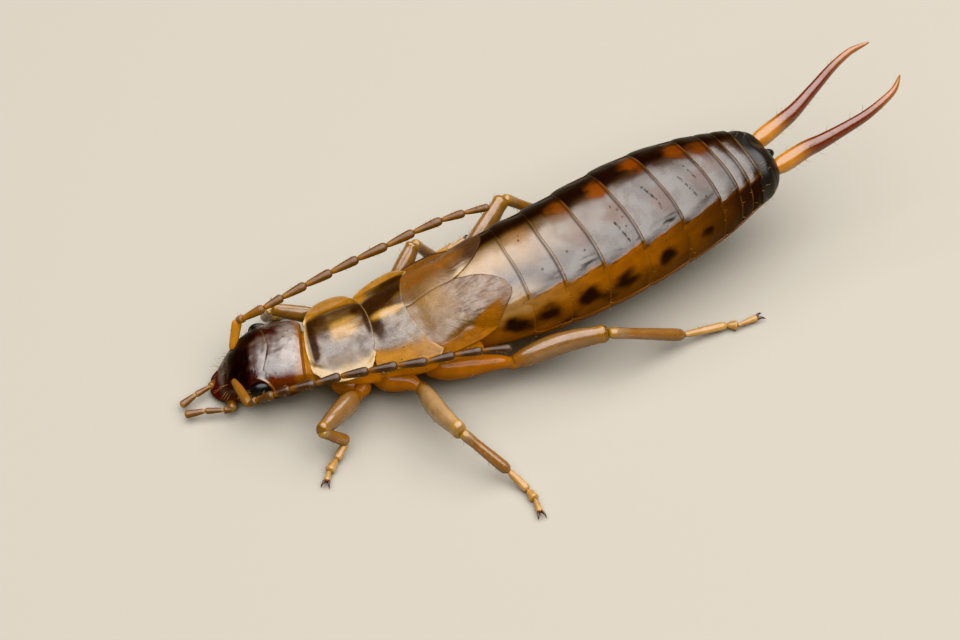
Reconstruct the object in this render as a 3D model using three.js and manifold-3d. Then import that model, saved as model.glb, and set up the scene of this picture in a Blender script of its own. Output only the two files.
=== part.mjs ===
// A young earwig at life size, walking with its head low and its forceps raised.
// Millimetres, +Z up, head toward -X, the animal's left side toward -Y, soles at z = 0.
import * as THREE from 'three';
import { mergeVertices } from 'three/addons/utils/BufferGeometryUtils.js';
import Module from 'manifold-3d';

const wasm = await Module();
wasm.setup();

// Gaps that keep neighbouring nodes apart.
const PART_GAP = 0.25;
const SEAT_GAP = 0.15;

// The mid-line of the body: where the mouth is, and how the line turns (heading, to the left of +X)
// and climbs (rise) from head to tail. Each pair is a distance from the mouth and an angle in degrees.
const MOUTH = new THREE.Vector3(-5.16, 1.53, 0.42);
const SPINE_LENGTH = 15.6;
const SPINE_STEP = 0.02;
const HEADING = [[0, -21], [1.9, -21], [2.2, -13.5], [3.3, -9.5], [4.4, -4.5], [6, 0], [9, 8],
  [12.4, 6], [15.6, 6]];
const RISE = [[0, 9.5], [2, 9.5], [3.3, 8], [4.4, 6.5], [6, 4.5], [9, 2.5], [12.4, 4], [15.6, 14]];

// Where one body part ends and the next begins, measured along the mid-line.
const LABRUM_TIP = 0.2;
const HEAD_END = 1.9;
const NECK_SPAN = [2.02, 2.3];
const PRONOTUM_SPAN = [2.12, 3.33];
const MESOTHORAX_END = 4.08;
const METATHORAX_END = 5.3;
const TERGITE_ENDS = [6.2, 6.93, 7.72, 8.6, 9.53, 10.44, 10.9, 11.2, 11.52];
const TAIL_END = 12.1;

// Head: half width, crest and underside against the distance from the mouth.
const HEAD_HALF_WIDTH = [[0.2, 0.27], [0.4, 0.38], [0.6, 0.5], [0.9, 0.68], [1.15, 0.77], [1.5, 0.79],
  [1.75, 0.76], [1.9, 0.68]];
const HEAD_CREST = [[0.2, -0.24], [0.4, -0.04], [0.6, 0.12], [0.9, 0.3], [1.15, 0.37], [1.5, 0.42],
  [1.75, 0.4], [1.9, 0.32]];
const HEAD_UNDERSIDE = [[0.2, -0.4], [0.6, -0.47], [1.15, -0.5], [1.75, -0.45], [1.9, -0.36]];

// Eyes: centre on the left side of the head, and half sizes along, across and up.
const EYE_CENTRE = [1.13, -0.76, 0.07];
const EYE_RADII = [0.21, 0.14, 0.18];

// Neck: half width, crest and underside.
const NECK_HALF_WIDTH = 0.42;
const NECK_CREST = 0.05;
const NECK_UNDERSIDE = -0.36;

// Back plates of the thorax: half width, crest, and the height of their side edges.
const PLATE_HALF_WIDTH = [[2.1, 0.8], [3.3, 0.9], [4.4, 1.03], [5.2, 1.12], [6, 1.16]];
const PLATE_CREST = [[2.1, 0.36], [3.3, 0.46], [4.4, 0.62], [5.2, 0.82], [6, 0.95]];
const PLATE_EDGE = [[2.1, 0.12], [3.3, 0.16], [4.4, 0.22], [5.2, 0.22], [6, 0.22]];
const PLATE_THICKNESS = 0.2;
const PRONOTUM_HIND_BULGE = -0.16;
const MESONOTUM_HIND_HOLLOW = 0.36;

// Body of the thorax under its plates.
const CHEST_HALF_WIDTH = [[2.4, 0.4], [3.3, 0.48], [4.4, 0.56], [5.3, 0.62]];
const CHEST_UNDERSIDE = [[2.4, -0.42], [3.3, -0.52], [4.4, -0.64], [5.3, -0.74]];
const CHEST_SLANT = 0.4;

// Hind wing pads: flat lobes that lie on the front of the abdomen, drawn on the left side.
const PAD_THICKNESS = 0.26;
const PAD_OUTLINE = [[4.75, -0.1], [5.1, -0.06], [5.5, -0.17], [5.76, -0.4], [5.93, -0.6],
  [5.97, -0.74], [5.86, -0.84], [5.6, -0.96], [5.16, -1.08], [4.75, -0.98]];

// Abdomen: half width, crest and underside.
const ABDOMEN_HALF_WIDTH = [[5, 1.02], [6, 1.2], [7, 1.28], [8, 1.33], [9, 1.33], [9.8, 1.27],
  [10.6, 1.14], [11.3, 0.94], [11.8, 0.78], [12, 0.64], [12.1, 0.5]];
const ABDOMEN_CREST = [[5, 0.78], [6, 0.99], [7, 1.05], [8, 1.08], [9, 1.08], [9.8, 1.05],
  [10.6, 0.96], [11.3, 0.83], [11.8, 0.68], [12, 0.56], [12.1, 0.42]];
const ABDOMEN_UNDERSIDE = [[5, -0.72], [6, -0.88], [7, -0.98], [8, -1.04], [9, -1.04], [9.8, -0.98],
  [10.6, -0.86], [11.3, -0.68], [11.8, -0.52], [12, -0.42], [12.1, -0.32]];
const TERGITE_STEP = 0.05;

// Feelers: the number of beads after the two basal ones, and half thickness from root to tip.
const FEELER_RADII = [0.22, 0.25, 0.24, 0.23, 0.21, 0.19, 0.15];
const FEELER_LEFT = [[-4.95, 0.55, 0.72], [-4.87, -0.03, 0.9], [-4.76, -0.14, 1.1],
  [-4.48, -0.32, 1.3], [-4.14, -0.35, 1.33], [-3.66, -0.46, 1.38], [-3.18, -0.56, 1.46],
  [-2.67, -0.73, 1.55], [-2.15, -0.92, 1.65], [-1.61, -1.11, 1.7], [-1.09, -1.22, 1.75],
  [-0.58, -1.36, 1.78], [-0.06, -1.55, 1.8]];
const FEELER_RIGHT = [[-4.6, 1.96, 0.76], [-4.23, 1.97, 1.02], [-4.19, 1.79, 1.2], [-3.77, 1.71, 1.4],
  [-3.36, 1.76, 1.46], [-2.84, 1.83, 1.5], [-2.28, 1.86, 1.58], [-1.72, 1.86, 1.7],
  [-1.12, 1.84, 1.82], [-0.53, 1.87, 1.9], [0.07, 1.89, 1.95], [0.54, 1.86, 1.97], [1.04, 1.8, 1.97]];
const FEELER_WAIST = 0.78;

// Jaw feelers (palps), from under the mouth forward over the floor.
const PALP_RADII = [0.17, 0.16, 0.13];
const PALP_LEFT = [[-4.98, 0.52, 0.2], [-5.14, 0.64, 0.19], [-5.46, 0.78, 0.18], [-5.84, 0.87, 0.17]];
const PALP_RIGHT = [[-5.04, 1.9, 0.2], [-5.2, 1.74, 0.2], [-5.45, 1.48, 0.18], [-5.79, 1.3, 0.17]];

// Forceps: points on the centre line of each arm, and half thickness from root to tip.
const FORCEPS_RADII = [0.25, 0.25, 0.22, 0.18, 0.15, 0.12, 0.09, 0.06];
const FORCEPS_LEFT = [[12.36, -0.36, 0.18], [12.75, -0.38, 0.26], [13.06, -0.44, 0.33],
  [13.58, -0.49, 0.42], [14.08, -0.52, 0.5], [14.55, -0.45, 0.52], [14.92, -0.33, 0.51],
  [15.22, -0.09, 0.48]];
const FORCEPS_RIGHT = [[12.36, 0.46, 0.16], [12.75, 0.53, 0.2], [13.08, 0.58, 0.26],
  [13.67, 0.75, 0.38], [14.27, 0.93, 0.47], [14.72, 1.02, 0.49], [15, 1.02, 0.47], [15.2, 1, 0.45]];

// Legs: the hip is on the side of the chest, given along the body and up; the other joints are where
// they stand. HIP_CLEAR is how far a hip's flat root stands off the chest's side.
const COXA_RADII = [0.26, 0.25];
const HIP_CLEAR = 0.37;
const FEMUR_RADII = [0.25, 0.27, 0.25];
const SHIN_RADII = [0.25, 0.22];
const FOOT_RADII = [0.22, 0.19, 0.17];
const CLAW_RADII = [0.06, 0.03];
const CLAW_LENGTH = 0.16;
const CLAW_SPREAD = 28;
const LEGS = {
  leg_front_left: { side: -1, hip: [2.92, -0.46], thigh: [-2.8, -0.37, 0.49], knee: [-3.88, -1.14, 0.8],
    ankle: [-3.37, -1.22, 0.36], toe: [[-3.68, -1.42, 0.18], [-3.91, -1.6, 0.14], [-4.05, -1.79, 0.12]] },
  leg_mid_left: { side: -1, hip: [3.72, -0.44], thigh: [-1.57, -0.72, 0.5], knee: [-1.51, -2.4, 0.95],
    ankle: [-0.88, -3.17, 0.32], toe: [[-0.69, -3.64, 0.17], [-0.66, -3.88, 0.14], [-0.7, -4.2, 0.12]] },
  leg_hind_left: { side: -1, hip: [4.72, -0.5], thigh: [0.26, -0.94, 0.5], knee: [2.09, -1.34, 1],
    ankle: [3.66, -1.48, 0.34], toe: [[4.6, -1.47, 0.17], [4.8, -1.54, 0.14], [5.24, -1.5, 0.12]] },
  leg_front_right: { side: 1, hip: [2.9, -0.46], thigh: [-2.5, 1.72, 0.51], knee: [-3.45, 2.14, 0.78],
    ankle: [-3.5, 2.36, 0.34], toe: [[-3.27, 2.45, 0.18], [-3.13, 2.46, 0.14], [-2.88, 2.42, 0.12]] },
  leg_mid_right: { side: 1, hip: [3.8, -0.44], thigh: [-1.14, 1.68, 0.56], knee: [-0.37, 2.24, 1.14],
    ankle: [0.12, 2.42, 0.34], toe: [[0.5, 2.62, 0.17], [0.66, 2.68, 0.14], [0.96, 2.76, 0.12]] },
  leg_hind_right: { side: 1, hip: [4.72, -0.5], thigh: [0.36, 1.72, 0.55], knee: [1.66, 2.5, 1.26],
    ankle: [2.77, 2.3, 0.34], toe: [[3.47, 2.42, 0.17], [3.71, 2.48, 0.14], [4.1, 2.6, 0.12]] },
};

// Finishes.
const FINISHES = {
  head: { color: 0x3a120a, roughness: 0.3 },
  eye: { color: 0x0b1114, roughness: 0.15 },
  neck: { color: 0xc08a4a, roughness: 0.5 },
  thorax: { color: 0xb08a58, roughness: 0.4 },
  abdomen: { color: 0x5a3a20, roughness: 0.35 },
  tail: { color: 0x120806, roughness: 0.25 },
  forceps: { color: 0x9a4a18, roughness: 0.3 },
  feeler: { color: 0x6a5142, roughness: 0.45 },
  palp: { color: 0x8a6234, roughness: 0.45 },
  leg: { color: 0xd9b676, roughness: 0.4 },
};

/** Value of a smooth curve through [at, value] pairs. */
function along(table, at) {
  const last = table.length - 1;
  if (at <= table[0][0]) return table[0][1];
  if (at >= table[last][0]) return table[last][1];
  let i = 0;
  while (at > table[i + 1][0]) i += 1;
  const slope = (k) => {
    const a = table[Math.max(k - 1, 0)];
    const b = table[Math.min(k + 1, last)];
    return (b[1] - a[1]) / (b[0] - a[0]);
  };
  const span = table[i + 1][0] - table[i][0];
  const u = (at - table[i][0]) / span;
  const rise = table[i + 1][1] - table[i][1];
  const bow = (slope(i) * span - rise) * (1 - u) - (slope(i + 1) * span - rise) * u;
  return table[i][1] + u * rise + u * (1 - u) * bow;
}

/** Frames (point, ahead, side, up) at even steps along the mid-line. */
function spineFrames() {
  const frames = [];
  const point = MOUTH.clone();
  for (let s = 0; s <= SPINE_LENGTH; s += SPINE_STEP) {
    const turn = THREE.MathUtils.degToRad(along(HEADING, s));
    const climb = THREE.MathUtils.degToRad(along(RISE, s));
    const level = Math.cos(climb);
    const ahead = new THREE.Vector3(Math.cos(turn) * level, Math.sin(turn) * level, Math.sin(climb));
    const side = new THREE.Vector3(-Math.sin(turn), Math.cos(turn), 0);
    frames.push({ point: point.clone(), ahead, side, up: ahead.clone().cross(side) });
    point.addScaledVector(ahead, SPINE_STEP);
  }
  return frames;
}

const FRAMES = spineFrames();

/** Place in space of a point given in body measures: s along, y to the right, z up. */
function bend(s, y, z) {
  const at = THREE.MathUtils.clamp(s / SPINE_STEP, 0, FRAMES.length - 1.001);
  const low = FRAMES[Math.floor(at)];
  const high = FRAMES[Math.floor(at) + 1];
  const share = at - Math.floor(at);
  return low.point.clone().lerp(high.point, share)
    .addScaledVector(low.side, y)
    .addScaledVector(low.up, z);
}

/** Closed geometry through rings of equal point counts, with a fan over each end. */
function loft(rings) {
  const count = rings[0].length;
  const points = rings.flat();
  const middle = (ring) => ring.reduce((sum, p) => sum.add(p), new THREE.Vector3()).divideScalar(count);
  const first = points.push(middle(rings[0])) - 1;
  const last = points.push(middle(rings[rings.length - 1])) - 1;
  const index = [];
  for (let k = 0; k < count; k += 1) {
    const next = (k + 1) % count;
    index.push(first, k, next);
    for (let r = 0; r + 1 < rings.length; r += 1) {
      const a = r * count;
      const b = a + count;
      index.push(a + k, b + k, a + next, a + next, b + k, b + next);
    }
    const end = (rings.length - 1) * count;
    index.push(last, end + next, end + k);
  }
  const geometry = new THREE.BufferGeometry().setFromPoints(points);
  geometry.setIndex(index);
  if (signedVolume(geometry) < 0) geometry.setIndex(index.reverse());
  return geometry;
}

/** Volume of an indexed geometry, negative where its faces point in. */
function signedVolume(geometry) {
  const position = geometry.attributes.position;
  const index = geometry.index.array;
  const corner = (i) => new THREE.Vector3().fromBufferAttribute(position, index[i]);
  let volume = 0;
  for (let i = 0; i < index.length; i += 3) volume += corner(i).dot(corner(i + 1).cross(corner(i + 2))) / 6;
  return volume;
}

/** Solid of a closed geometry. */
function solid(geometry) {
  const plain = new THREE.BufferGeometry();
  plain.setAttribute('position', geometry.attributes.position);
  plain.setIndex(geometry.index);
  const merged = mergeVertices(plain, 1e-5);
  return new wasm.Manifold(new wasm.Mesh({
    numProp: 3,
    vertProperties: new Float32Array(merged.attributes.position.array),
    triVerts: new Uint32Array(merged.index.array),
  }));
}

/** Geometry of the largest closed surface of a solid. */
function largest(body) {
  const pieces = body.decompose().sort((a, b) => b.volume() - a.volume());
  const mesh = pieces[0].getMesh();
  const geometry = new THREE.BufferGeometry();
  geometry.setAttribute('position', new THREE.BufferAttribute(mesh.vertProperties, 3));
  geometry.setIndex(new THREE.BufferAttribute(mesh.triVerts, 1));
  return geometry;
}

/** Solid of all the given geometries joined. */
function join(geometries) {
  return geometries.map(solid).reduce((sum, next) => sum.add(next));
}

/** Points [y, z] of an egg-shaped section with its own crest and underside. */
function eggSection(halfWidth, crest, underside, count, square, grow = 0) {
  const middle = (crest + underside) / 2;
  const halfHeight = (crest - underside) / 2 + grow;
  const points = [];
  for (let k = 0; k < count; k += 1) {
    const angle = (2 * Math.PI * (k + 0.5)) / count;
    const c = Math.cos(angle);
    const d = Math.sin(angle);
    const y = (halfWidth + grow) * Math.sign(c) * Math.abs(c) ** (2 / square);
    points.push([y, middle + halfHeight * Math.sign(d) * Math.abs(d) ** (2 / square)]);
  }
  return points;
}

/** Ring in space of a section at s; sag moves its sides back, slant moves its underside back. */
function ring(s, section, sag = 0, slant = 0) {
  const reach = Math.max(...section.map(([y]) => Math.abs(y)));
  return section.map(([y, z]) => bend(s + sag * (y / reach) ** 2 - slant * z, y, z));
}

/** Even steps from a to b, both included. */
function steps(a, b, count) {
  return Array.from({ length: count }, (_, i) => a + ((b - a) * i) / (count - 1));
}

/** Round bar with rounded ends between two points; a flat root starts square. */
function bar(from, to, fromRadius, toRadius, sides = 8, flatRoot = false) {
  const length = from.distanceTo(to);
  const profile = [];
  const rows = 3;
  for (let k = 0; k <= rows; k += 1) {
    const angle = (Math.PI / 2) * (k / rows);
    if (flatRoot && k > 0 && k < rows) continue;
    const drop = flatRoot ? 0 : Math.cos(angle) * fromRadius;
    profile.push(new THREE.Vector2(Math.sin(angle) * fromRadius, -drop));
  }
  for (let k = rows; k >= 0; k -= 1) {
    const angle = (Math.PI / 2) * (k / rows);
    profile.push(new THREE.Vector2(Math.sin(angle) * toRadius, length + Math.cos(angle) * toRadius));
  }
  profile[0].x = 0;
  profile[profile.length - 1].x = 0;
  const geometry = new THREE.LatheGeometry(profile, sides);
  const way = to.clone().sub(from).normalize();
  const turn = new THREE.Quaternion().setFromUnitVectors(new THREE.Vector3(0, 1, 0), way);
  geometry.applyQuaternion(turn);
  geometry.translate(from.x, from.y, from.z);
  return geometry;
}

/** Tube along a smooth curve through points, with a half thickness given from 0 (root) to 1 (tip). */
function tube(points, radiusAt, rows, sides = 8) {
  const curve = new THREE.CatmullRomCurve3(points, false, 'centripetal');
  const frames = curve.computeFrenetFrames(rows, false);
  const rings = [];
  for (let r = 0; r <= rows; r += 1) {
    const share = r / rows;
    const centre = curve.getPointAt(share);
    const radius = radiusAt(share);
    const circle = [];
    for (let k = 0; k < sides; k += 1) {
      const angle = (2 * Math.PI * k) / sides;
      circle.push(centre.clone()
        .addScaledVector(frames.normals[r], Math.cos(angle) * radius)
        .addScaledVector(frames.binormals[r], Math.sin(angle) * radius));
    }
    rings.push(circle);
  }
  return loft(rings);
}

/** Radius function from an even list of half thicknesses. */
function taper(radii) {
  const table = radii.map((radius, i) => [i / (radii.length - 1), radius]);
  return (share) => along(table, share);
}

function vector([x, y, z]) {
  return new THREE.Vector3(x, y, z);
}

/** Eye as an egg turned with the head; grow makes the seat that it sits in. */
function eyeGeometry(side, grow = 0) {
  const geometry = new THREE.SphereGeometry(1, 12, 8);
  const [s, y, z] = EYE_CENTRE;
  const frame = FRAMES[Math.round(s / SPINE_STEP)];
  const radii = EYE_RADII.map((radius) => radius + grow);
  geometry.scale(radii[0], radii[1], radii[2]);
  geometry.applyMatrix4(new THREE.Matrix4().makeBasis(frame.ahead, frame.side, frame.up));
  const centre = bend(s, y * -side, z);
  geometry.translate(centre.x, centre.y, centre.z);
  return geometry;
}

function headGeometry() {
  const rings = steps(LABRUM_TIP, HEAD_END, 12).map((s) => ring(s, eggSection(
    along(HEAD_HALF_WIDTH, s), along(HEAD_CREST, s), along(HEAD_UNDERSIDE, s), 24, 2.5)));
  let head = solid(loft(rings));
  for (const side of [-1, 1]) head = head.subtract(solid(eyeGeometry(side, SEAT_GAP)));
  return largest(head);
}

function neckGeometry(grow = 0) {
  const section = eggSection(NECK_HALF_WIDTH, NECK_CREST, NECK_UNDERSIDE, 16, 2.2, grow);
  return loft(steps(NECK_SPAN[0] - grow, NECK_SPAN[1] + grow, 3).map((s) => ring(s, section)));
}

/** Section of a thorax part: a roof plate with overhanging edges on a narrower chest. */
function thoraxSection(s) {
  const width = along(PLATE_HALF_WIDTH, s);
  const crest = along(PLATE_CREST, s);
  const edge = along(PLATE_EDGE, s);
  const chest = along(CHEST_HALF_WIDTH, s);
  const underside = along(CHEST_UNDERSIDE, s);
  const roof = steps(0, Math.PI, 11).map((angle) => {
    const share = Math.cos(angle);
    return [width * share, edge + (crest - edge) * (1 - Math.abs(share) ** 2.2)];
  });
  const under = [[width * 0.97, edge - PLATE_THICKNESS], [chest + 0.12, edge - PLATE_THICKNESS - 0.04],
    [chest, edge - PLATE_THICKNESS - 0.18], [chest * 0.92, underside + 0.16], [chest * 0.6, underside]];
  const left = under.map(([y, z]) => [-y, z]);
  const right = [...under].reverse();
  return [...roof, ...left, ...right];
}

/** Lofted thorax part between two places, its front and hind faces sagging and slanting as told. */
function thoraxBlock(start, end, frontSag, hindSag, hindSlant = 0) {
  const rows = 6;
  return loft(steps(0, 1, rows).map((share) => {
    const s = start + (end - start) * share;
    const sag = frontSag + (hindSag - frontSag) * share;
    return ring(s, thoraxSection(s), sag, hindSlant * share);
  }));
}

/** Hind wing pad of one side, following the roof line of the thorax; grow makes its bed. */
function padGeometry(side, grow = 0) {
  const middle = [5.35, -0.6];
  const spread = (factor) => PAD_OUTLINE.map(([s, y]) => {
    const ds = s - middle[0];
    const dy = y - middle[1];
    const reach = Math.hypot(ds, dy);
    const stretch = (factor * (reach + grow)) / reach;
    return [middle[0] + ds * stretch, middle[1] + dy * stretch];
  });
  const height = (s, y) => {
    const share = Math.min(Math.abs(y) / along(PLATE_HALF_WIDTH, s), 1);
    const edge = along(PLATE_EDGE, s);
    return edge + (along(PLATE_CREST, s) + 0.03 - edge) * (1 - share ** 2.2);
  };
  const layer = (factor, depth) => spread(factor).map(([s, y]) => bend(s, y * -side, height(s, y) + depth));
  const top = grow > 0 ? 0.5 : 0;
  const bottom = -PAD_THICKNESS - grow;
  const shares = [0.3, 0.65, 1];
  const below = shares.map((share) => layer(share, bottom));
  const above = shares.map((share) => layer(share, top)).reverse();
  return loft([...below, ...above]);
}

function prothoraxGeometry() {
  const block = thoraxBlock(PRONOTUM_SPAN[0], PRONOTUM_SPAN[1] - PART_GAP / 2, 0, PRONOTUM_HIND_BULGE);
  return largest(solid(block).subtract(solid(neckGeometry(SEAT_GAP))));
}

function mesothoraxGeometry() {
  const start = PRONOTUM_SPAN[1] + PART_GAP / 2;
  return thoraxBlock(start, MESOTHORAX_END - PART_GAP / 2, PRONOTUM_HIND_BULGE, MESONOTUM_HIND_HOLLOW);
}

function metathoraxGeometry() {
  const start = MESOTHORAX_END + PART_GAP / 2;
  const block = thoraxBlock(start, METATHORAX_END - PART_GAP / 2, MESONOTUM_HIND_HOLLOW, 0, CHEST_SLANT);
  return largest(join([block, padGeometry(-1), padGeometry(1)]));
}

/** Ring of the abdomen at s, drawn in by inset. */
function abdomenRing(s, inset, slant = 0) {
  const halfWidth = along(ABDOMEN_HALF_WIDTH, s);
  const section = eggSection(halfWidth, along(ABDOMEN_CREST, s), along(ABDOMEN_UNDERSIDE, s), 28, 2.2, -inset);
  return ring(s, section, 0, slant);
}

/** Abdomen of overlapping rings, each wider at its hind edge than where it starts. */
function abdomenGeometry() {
  const start = METATHORAX_END + PART_GAP / 2;
  const end = TERGITE_ENDS[TERGITE_ENDS.length - 1];
  const rings = [
    abdomenRing(start, TERGITE_STEP, CHEST_SLANT),
    abdomenRing(start + 0.45, TERGITE_STEP / 2, CHEST_SLANT / 3),
  ];
  TERGITE_ENDS.forEach((edge, i) => {
    const stop = edge === end ? end - PART_GAP / 2 : edge;
    if (i > 0) {
      const from = TERGITE_ENDS[i - 1] + 0.03;
      const count = stop - from > 0.6 ? 3 : 2;
      for (const s of steps(from, stop, count).slice(0, -1)) rings.push(abdomenRing(s, TERGITE_STEP));
    }
    rings.push(abdomenRing(stop, 0));
  });
  let body = solid(loft(rings));
  for (const side of [-1, 1]) body = body.subtract(solid(padGeometry(side, SEAT_GAP)));
  return largest(body);
}

function lastSegmentGeometry() {
  const start = TERGITE_ENDS[TERGITE_ENDS.length - 1] + PART_GAP / 2;
  return loft(steps(start, TAIL_END, 7).map((s) => abdomenRing(s, 0)));
}

/** Beaded feeler: each stretch between two joints swells in its middle. */
function feelerGeometry(points) {
  const beads = points.length - 1;
  const radius = taper(FEELER_RADII);
  const swell = (share) => {
    const place = (share * beads) % 1;
    return FEELER_WAIST + (1 - FEELER_WAIST) * Math.min(1, 2.4 * Math.sin(Math.PI * place));
  };
  return tube(points.map(vector), (share) => radius(share) * swell(share), beads * 4);
}

/** One arm of the forceps along its centre line. */
function forcepsGeometry(points) {
  const line = points.map(([s, y, z]) => bend(s, y, z));
  return tube(line, taper(FORCEPS_RADII), 14);
}

/** Leg from hip to claws as one solid, cut flat on the floor. */
function legGeometry(leg) {
  const [s, z] = leg.hip;
  const root = bend(s, leg.side * (along(CHEST_HALF_WIDTH, s) + HIP_CLEAR), z);
  const thigh = vector(leg.thigh);
  const knee = vector(leg.knee);
  const ankle = vector(leg.ankle);
  const toes = leg.toe.map(vector);
  const middle = thigh.clone().lerp(knee, 0.5);
  const pieces = [
    bar(root, thigh, COXA_RADII[0], COXA_RADII[1], 8, true),
    bar(thigh, middle, FEMUR_RADII[0], FEMUR_RADII[1]),
    bar(middle, knee, FEMUR_RADII[1], FEMUR_RADII[2]),
    bar(knee, ankle, SHIN_RADII[0], SHIN_RADII[1]),
  ];
  [ankle, ...toes].forEach((joint, i, joints) => {
    if (i > 0) pieces.push(bar(joints[i - 1], joint, FOOT_RADII[i - 1], FOOT_RADII[i - 1] * 0.9));
  });
  const tip = toes[toes.length - 1];
  const ahead = tip.clone().sub(toes[toes.length - 2]).setZ(0).normalize();
  for (const spread of [-CLAW_SPREAD, CLAW_SPREAD]) {
    const way = ahead.clone().applyAxisAngle(new THREE.Vector3(0, 0, 1), THREE.MathUtils.degToRad(spread));
    const start = tip.clone().addScaledVector(ahead, FOOT_RADII[2] * 0.5);
    const end = start.clone().addScaledVector(way, CLAW_LENGTH).setZ(CLAW_RADII[1]);
    pieces.push(bar(start, end, CLAW_RADII[0], CLAW_RADII[1], 6));
  }
  const floor = new THREE.BoxGeometry(20, 20, 2);
  floor.translate(0, 0, -1);
  return largest(join(pieces).subtract(solid(floor)));
}

/** Named mesh with its finish. */
function mesh(name, geometry, finish) {
  const material = new THREE.MeshStandardMaterial({ ...FINISHES[finish], metalness: 0 });
  const piece = new THREE.Mesh(geometry, material);
  piece.name = name;
  return piece;
}

const earwig = new THREE.Group();
earwig.add(
  mesh('head', headGeometry(), 'head'),
  mesh('eye_left', eyeGeometry(-1), 'eye'),
  mesh('eye_right', eyeGeometry(1), 'eye'),
  mesh('palp_left', tube(PALP_LEFT.map(vector), taper(PALP_RADII), 8), 'palp'),
  mesh('palp_right', tube(PALP_RIGHT.map(vector), taper(PALP_RADII), 8), 'palp'),
  mesh('antenna_left', feelerGeometry(FEELER_LEFT), 'feeler'),
  mesh('antenna_right', feelerGeometry(FEELER_RIGHT), 'feeler'),
  mesh('neck', neckGeometry(), 'neck'),
  mesh('prothorax', prothoraxGeometry(), 'thorax'),
  mesh('mesothorax', mesothoraxGeometry(), 'thorax'),
  mesh('metathorax', metathoraxGeometry(), 'thorax'),
  mesh('abdomen', abdomenGeometry(), 'abdomen'),
  mesh('last_segment', lastSegmentGeometry(), 'tail'),
  mesh('forceps_left', forcepsGeometry(FORCEPS_LEFT), 'forceps'),
  mesh('forceps_right', forcepsGeometry(FORCEPS_RIGHT), 'forceps'),
);
for (const [name, leg] of Object.entries(LEGS)) earwig.add(mesh(name, legGeometry(leg), 'leg'));

// The middle of the box round the animal is the origin, with the soles at z = 0.
const box = new THREE.Box3().setFromObject(earwig);
const centre = box.getCenter(new THREE.Vector3());
earwig.position.set(-centre.x, -centre.y, 0);

export default earwig;
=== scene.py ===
"""Looks of a life-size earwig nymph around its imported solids.

Shapes are worked out in millimetres. Body plates are drawn on a straight body, with s along it from the
mouth, y to the animal's right and z up, and are then bent along the body's mid-line. Legs and feelers are
drawn in the pose itself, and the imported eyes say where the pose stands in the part's frame.
"""

import logging
import math
import random
from dataclasses import dataclass, field
from enum import Enum
from typing import Callable, Sequence

import bmesh
import bpy
from mathutils import Matrix, Vector, noise


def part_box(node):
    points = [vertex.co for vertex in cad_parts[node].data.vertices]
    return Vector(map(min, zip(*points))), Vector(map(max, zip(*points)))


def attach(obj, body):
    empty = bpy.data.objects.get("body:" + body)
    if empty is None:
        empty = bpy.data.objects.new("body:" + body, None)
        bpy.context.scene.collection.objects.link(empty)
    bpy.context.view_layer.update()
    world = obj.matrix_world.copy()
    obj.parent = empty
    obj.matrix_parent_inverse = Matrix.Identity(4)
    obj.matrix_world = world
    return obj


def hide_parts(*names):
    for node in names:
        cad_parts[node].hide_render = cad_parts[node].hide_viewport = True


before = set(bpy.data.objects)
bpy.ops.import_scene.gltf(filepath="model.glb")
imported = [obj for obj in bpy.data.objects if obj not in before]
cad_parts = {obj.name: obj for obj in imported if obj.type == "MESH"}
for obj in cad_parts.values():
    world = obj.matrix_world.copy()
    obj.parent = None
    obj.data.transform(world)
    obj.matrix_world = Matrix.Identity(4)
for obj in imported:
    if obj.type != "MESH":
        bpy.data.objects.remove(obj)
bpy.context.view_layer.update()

LOG = logging.getLogger("earwig")
MM = 0.001
MERGE = 1e-5
TURN = 2 * math.pi
Pair = tuple[float, float]
Triple = tuple[float, float, float]
Table = tuple[Pair, ...]
Masks = tuple[Triple, Triple]
Spot = tuple[Vector, Triple, Triple, Triple]
Place = Callable[[float, float], Spot]
Trait = Callable[[float], Masks]
Socket = bpy.types.NodeSocket
NONE: Triple = (0.0, 0.0, 0.0)
UP = Vector((0, 0, 1))


class Side(Enum):
    """The animal's left or right, with the sign of y."""

    LEFT = -1
    RIGHT = 1

    @property
    def word(self) -> str:
        """Name used in node names."""
        return self.name.lower()


def along(table: Table, at: float) -> float:
    """Reads a smooth curve.

    Args:
        table: (at, value) pairs in rising order.
        at: Where to read.

    Returns:
        The value there, held level beyond the ends.
    """
    last = len(table) - 1
    if at <= table[0][0]:
        return table[0][1]
    if at >= table[last][0]:
        return table[last][1]
    i = 0
    while at > table[i + 1][0]:
        i += 1

    def slope(k: int) -> float:
        """Slope of the table at its pair k."""
        low, high = table[max(k - 1, 0)], table[min(k + 1, last)]
        return (high[1] - low[1]) / (high[0] - low[0])

    span = table[i + 1][0] - table[i][0]
    u = (at - table[i][0]) / span
    rise = table[i + 1][1] - table[i][1]
    bow = (slope(i) * span - rise) * (1 - u) - (slope(i + 1) * span - rise) * u
    return table[i][1] + u * rise + u * (1 - u) * bow


def smooth(low: float, high: float, value: float) -> float:
    """Soft step from 0 at low to 1 at high, in either order."""
    t = min(max((value - low) / (high - low), 0.0), 1.0)
    return t * t * (3 - 2 * t)


def bump(value: float, centre: float, width: float) -> float:
    """Round hump of height 1 at centre that fades over width."""
    return math.exp(-(((value - centre) / width) ** 2))


def rough(x: float, y: float, z: float, scale: float) -> float:
    """Smooth noise from -1 to 1 with features of about 1 / scale."""
    return noise.noise(Vector((x, y, z)) * scale)


def signed_power(value: float, power: float) -> float:
    """Power that keeps the sign."""
    return math.copysign(abs(value) ** power, value)


def closing(u: float, power: int) -> float:
    """Share of the full section at u, which closes at both ends, the more suddenly the higher the power."""
    return math.sqrt(max(1 - (2 * u - 1) ** power, 0.0))


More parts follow.
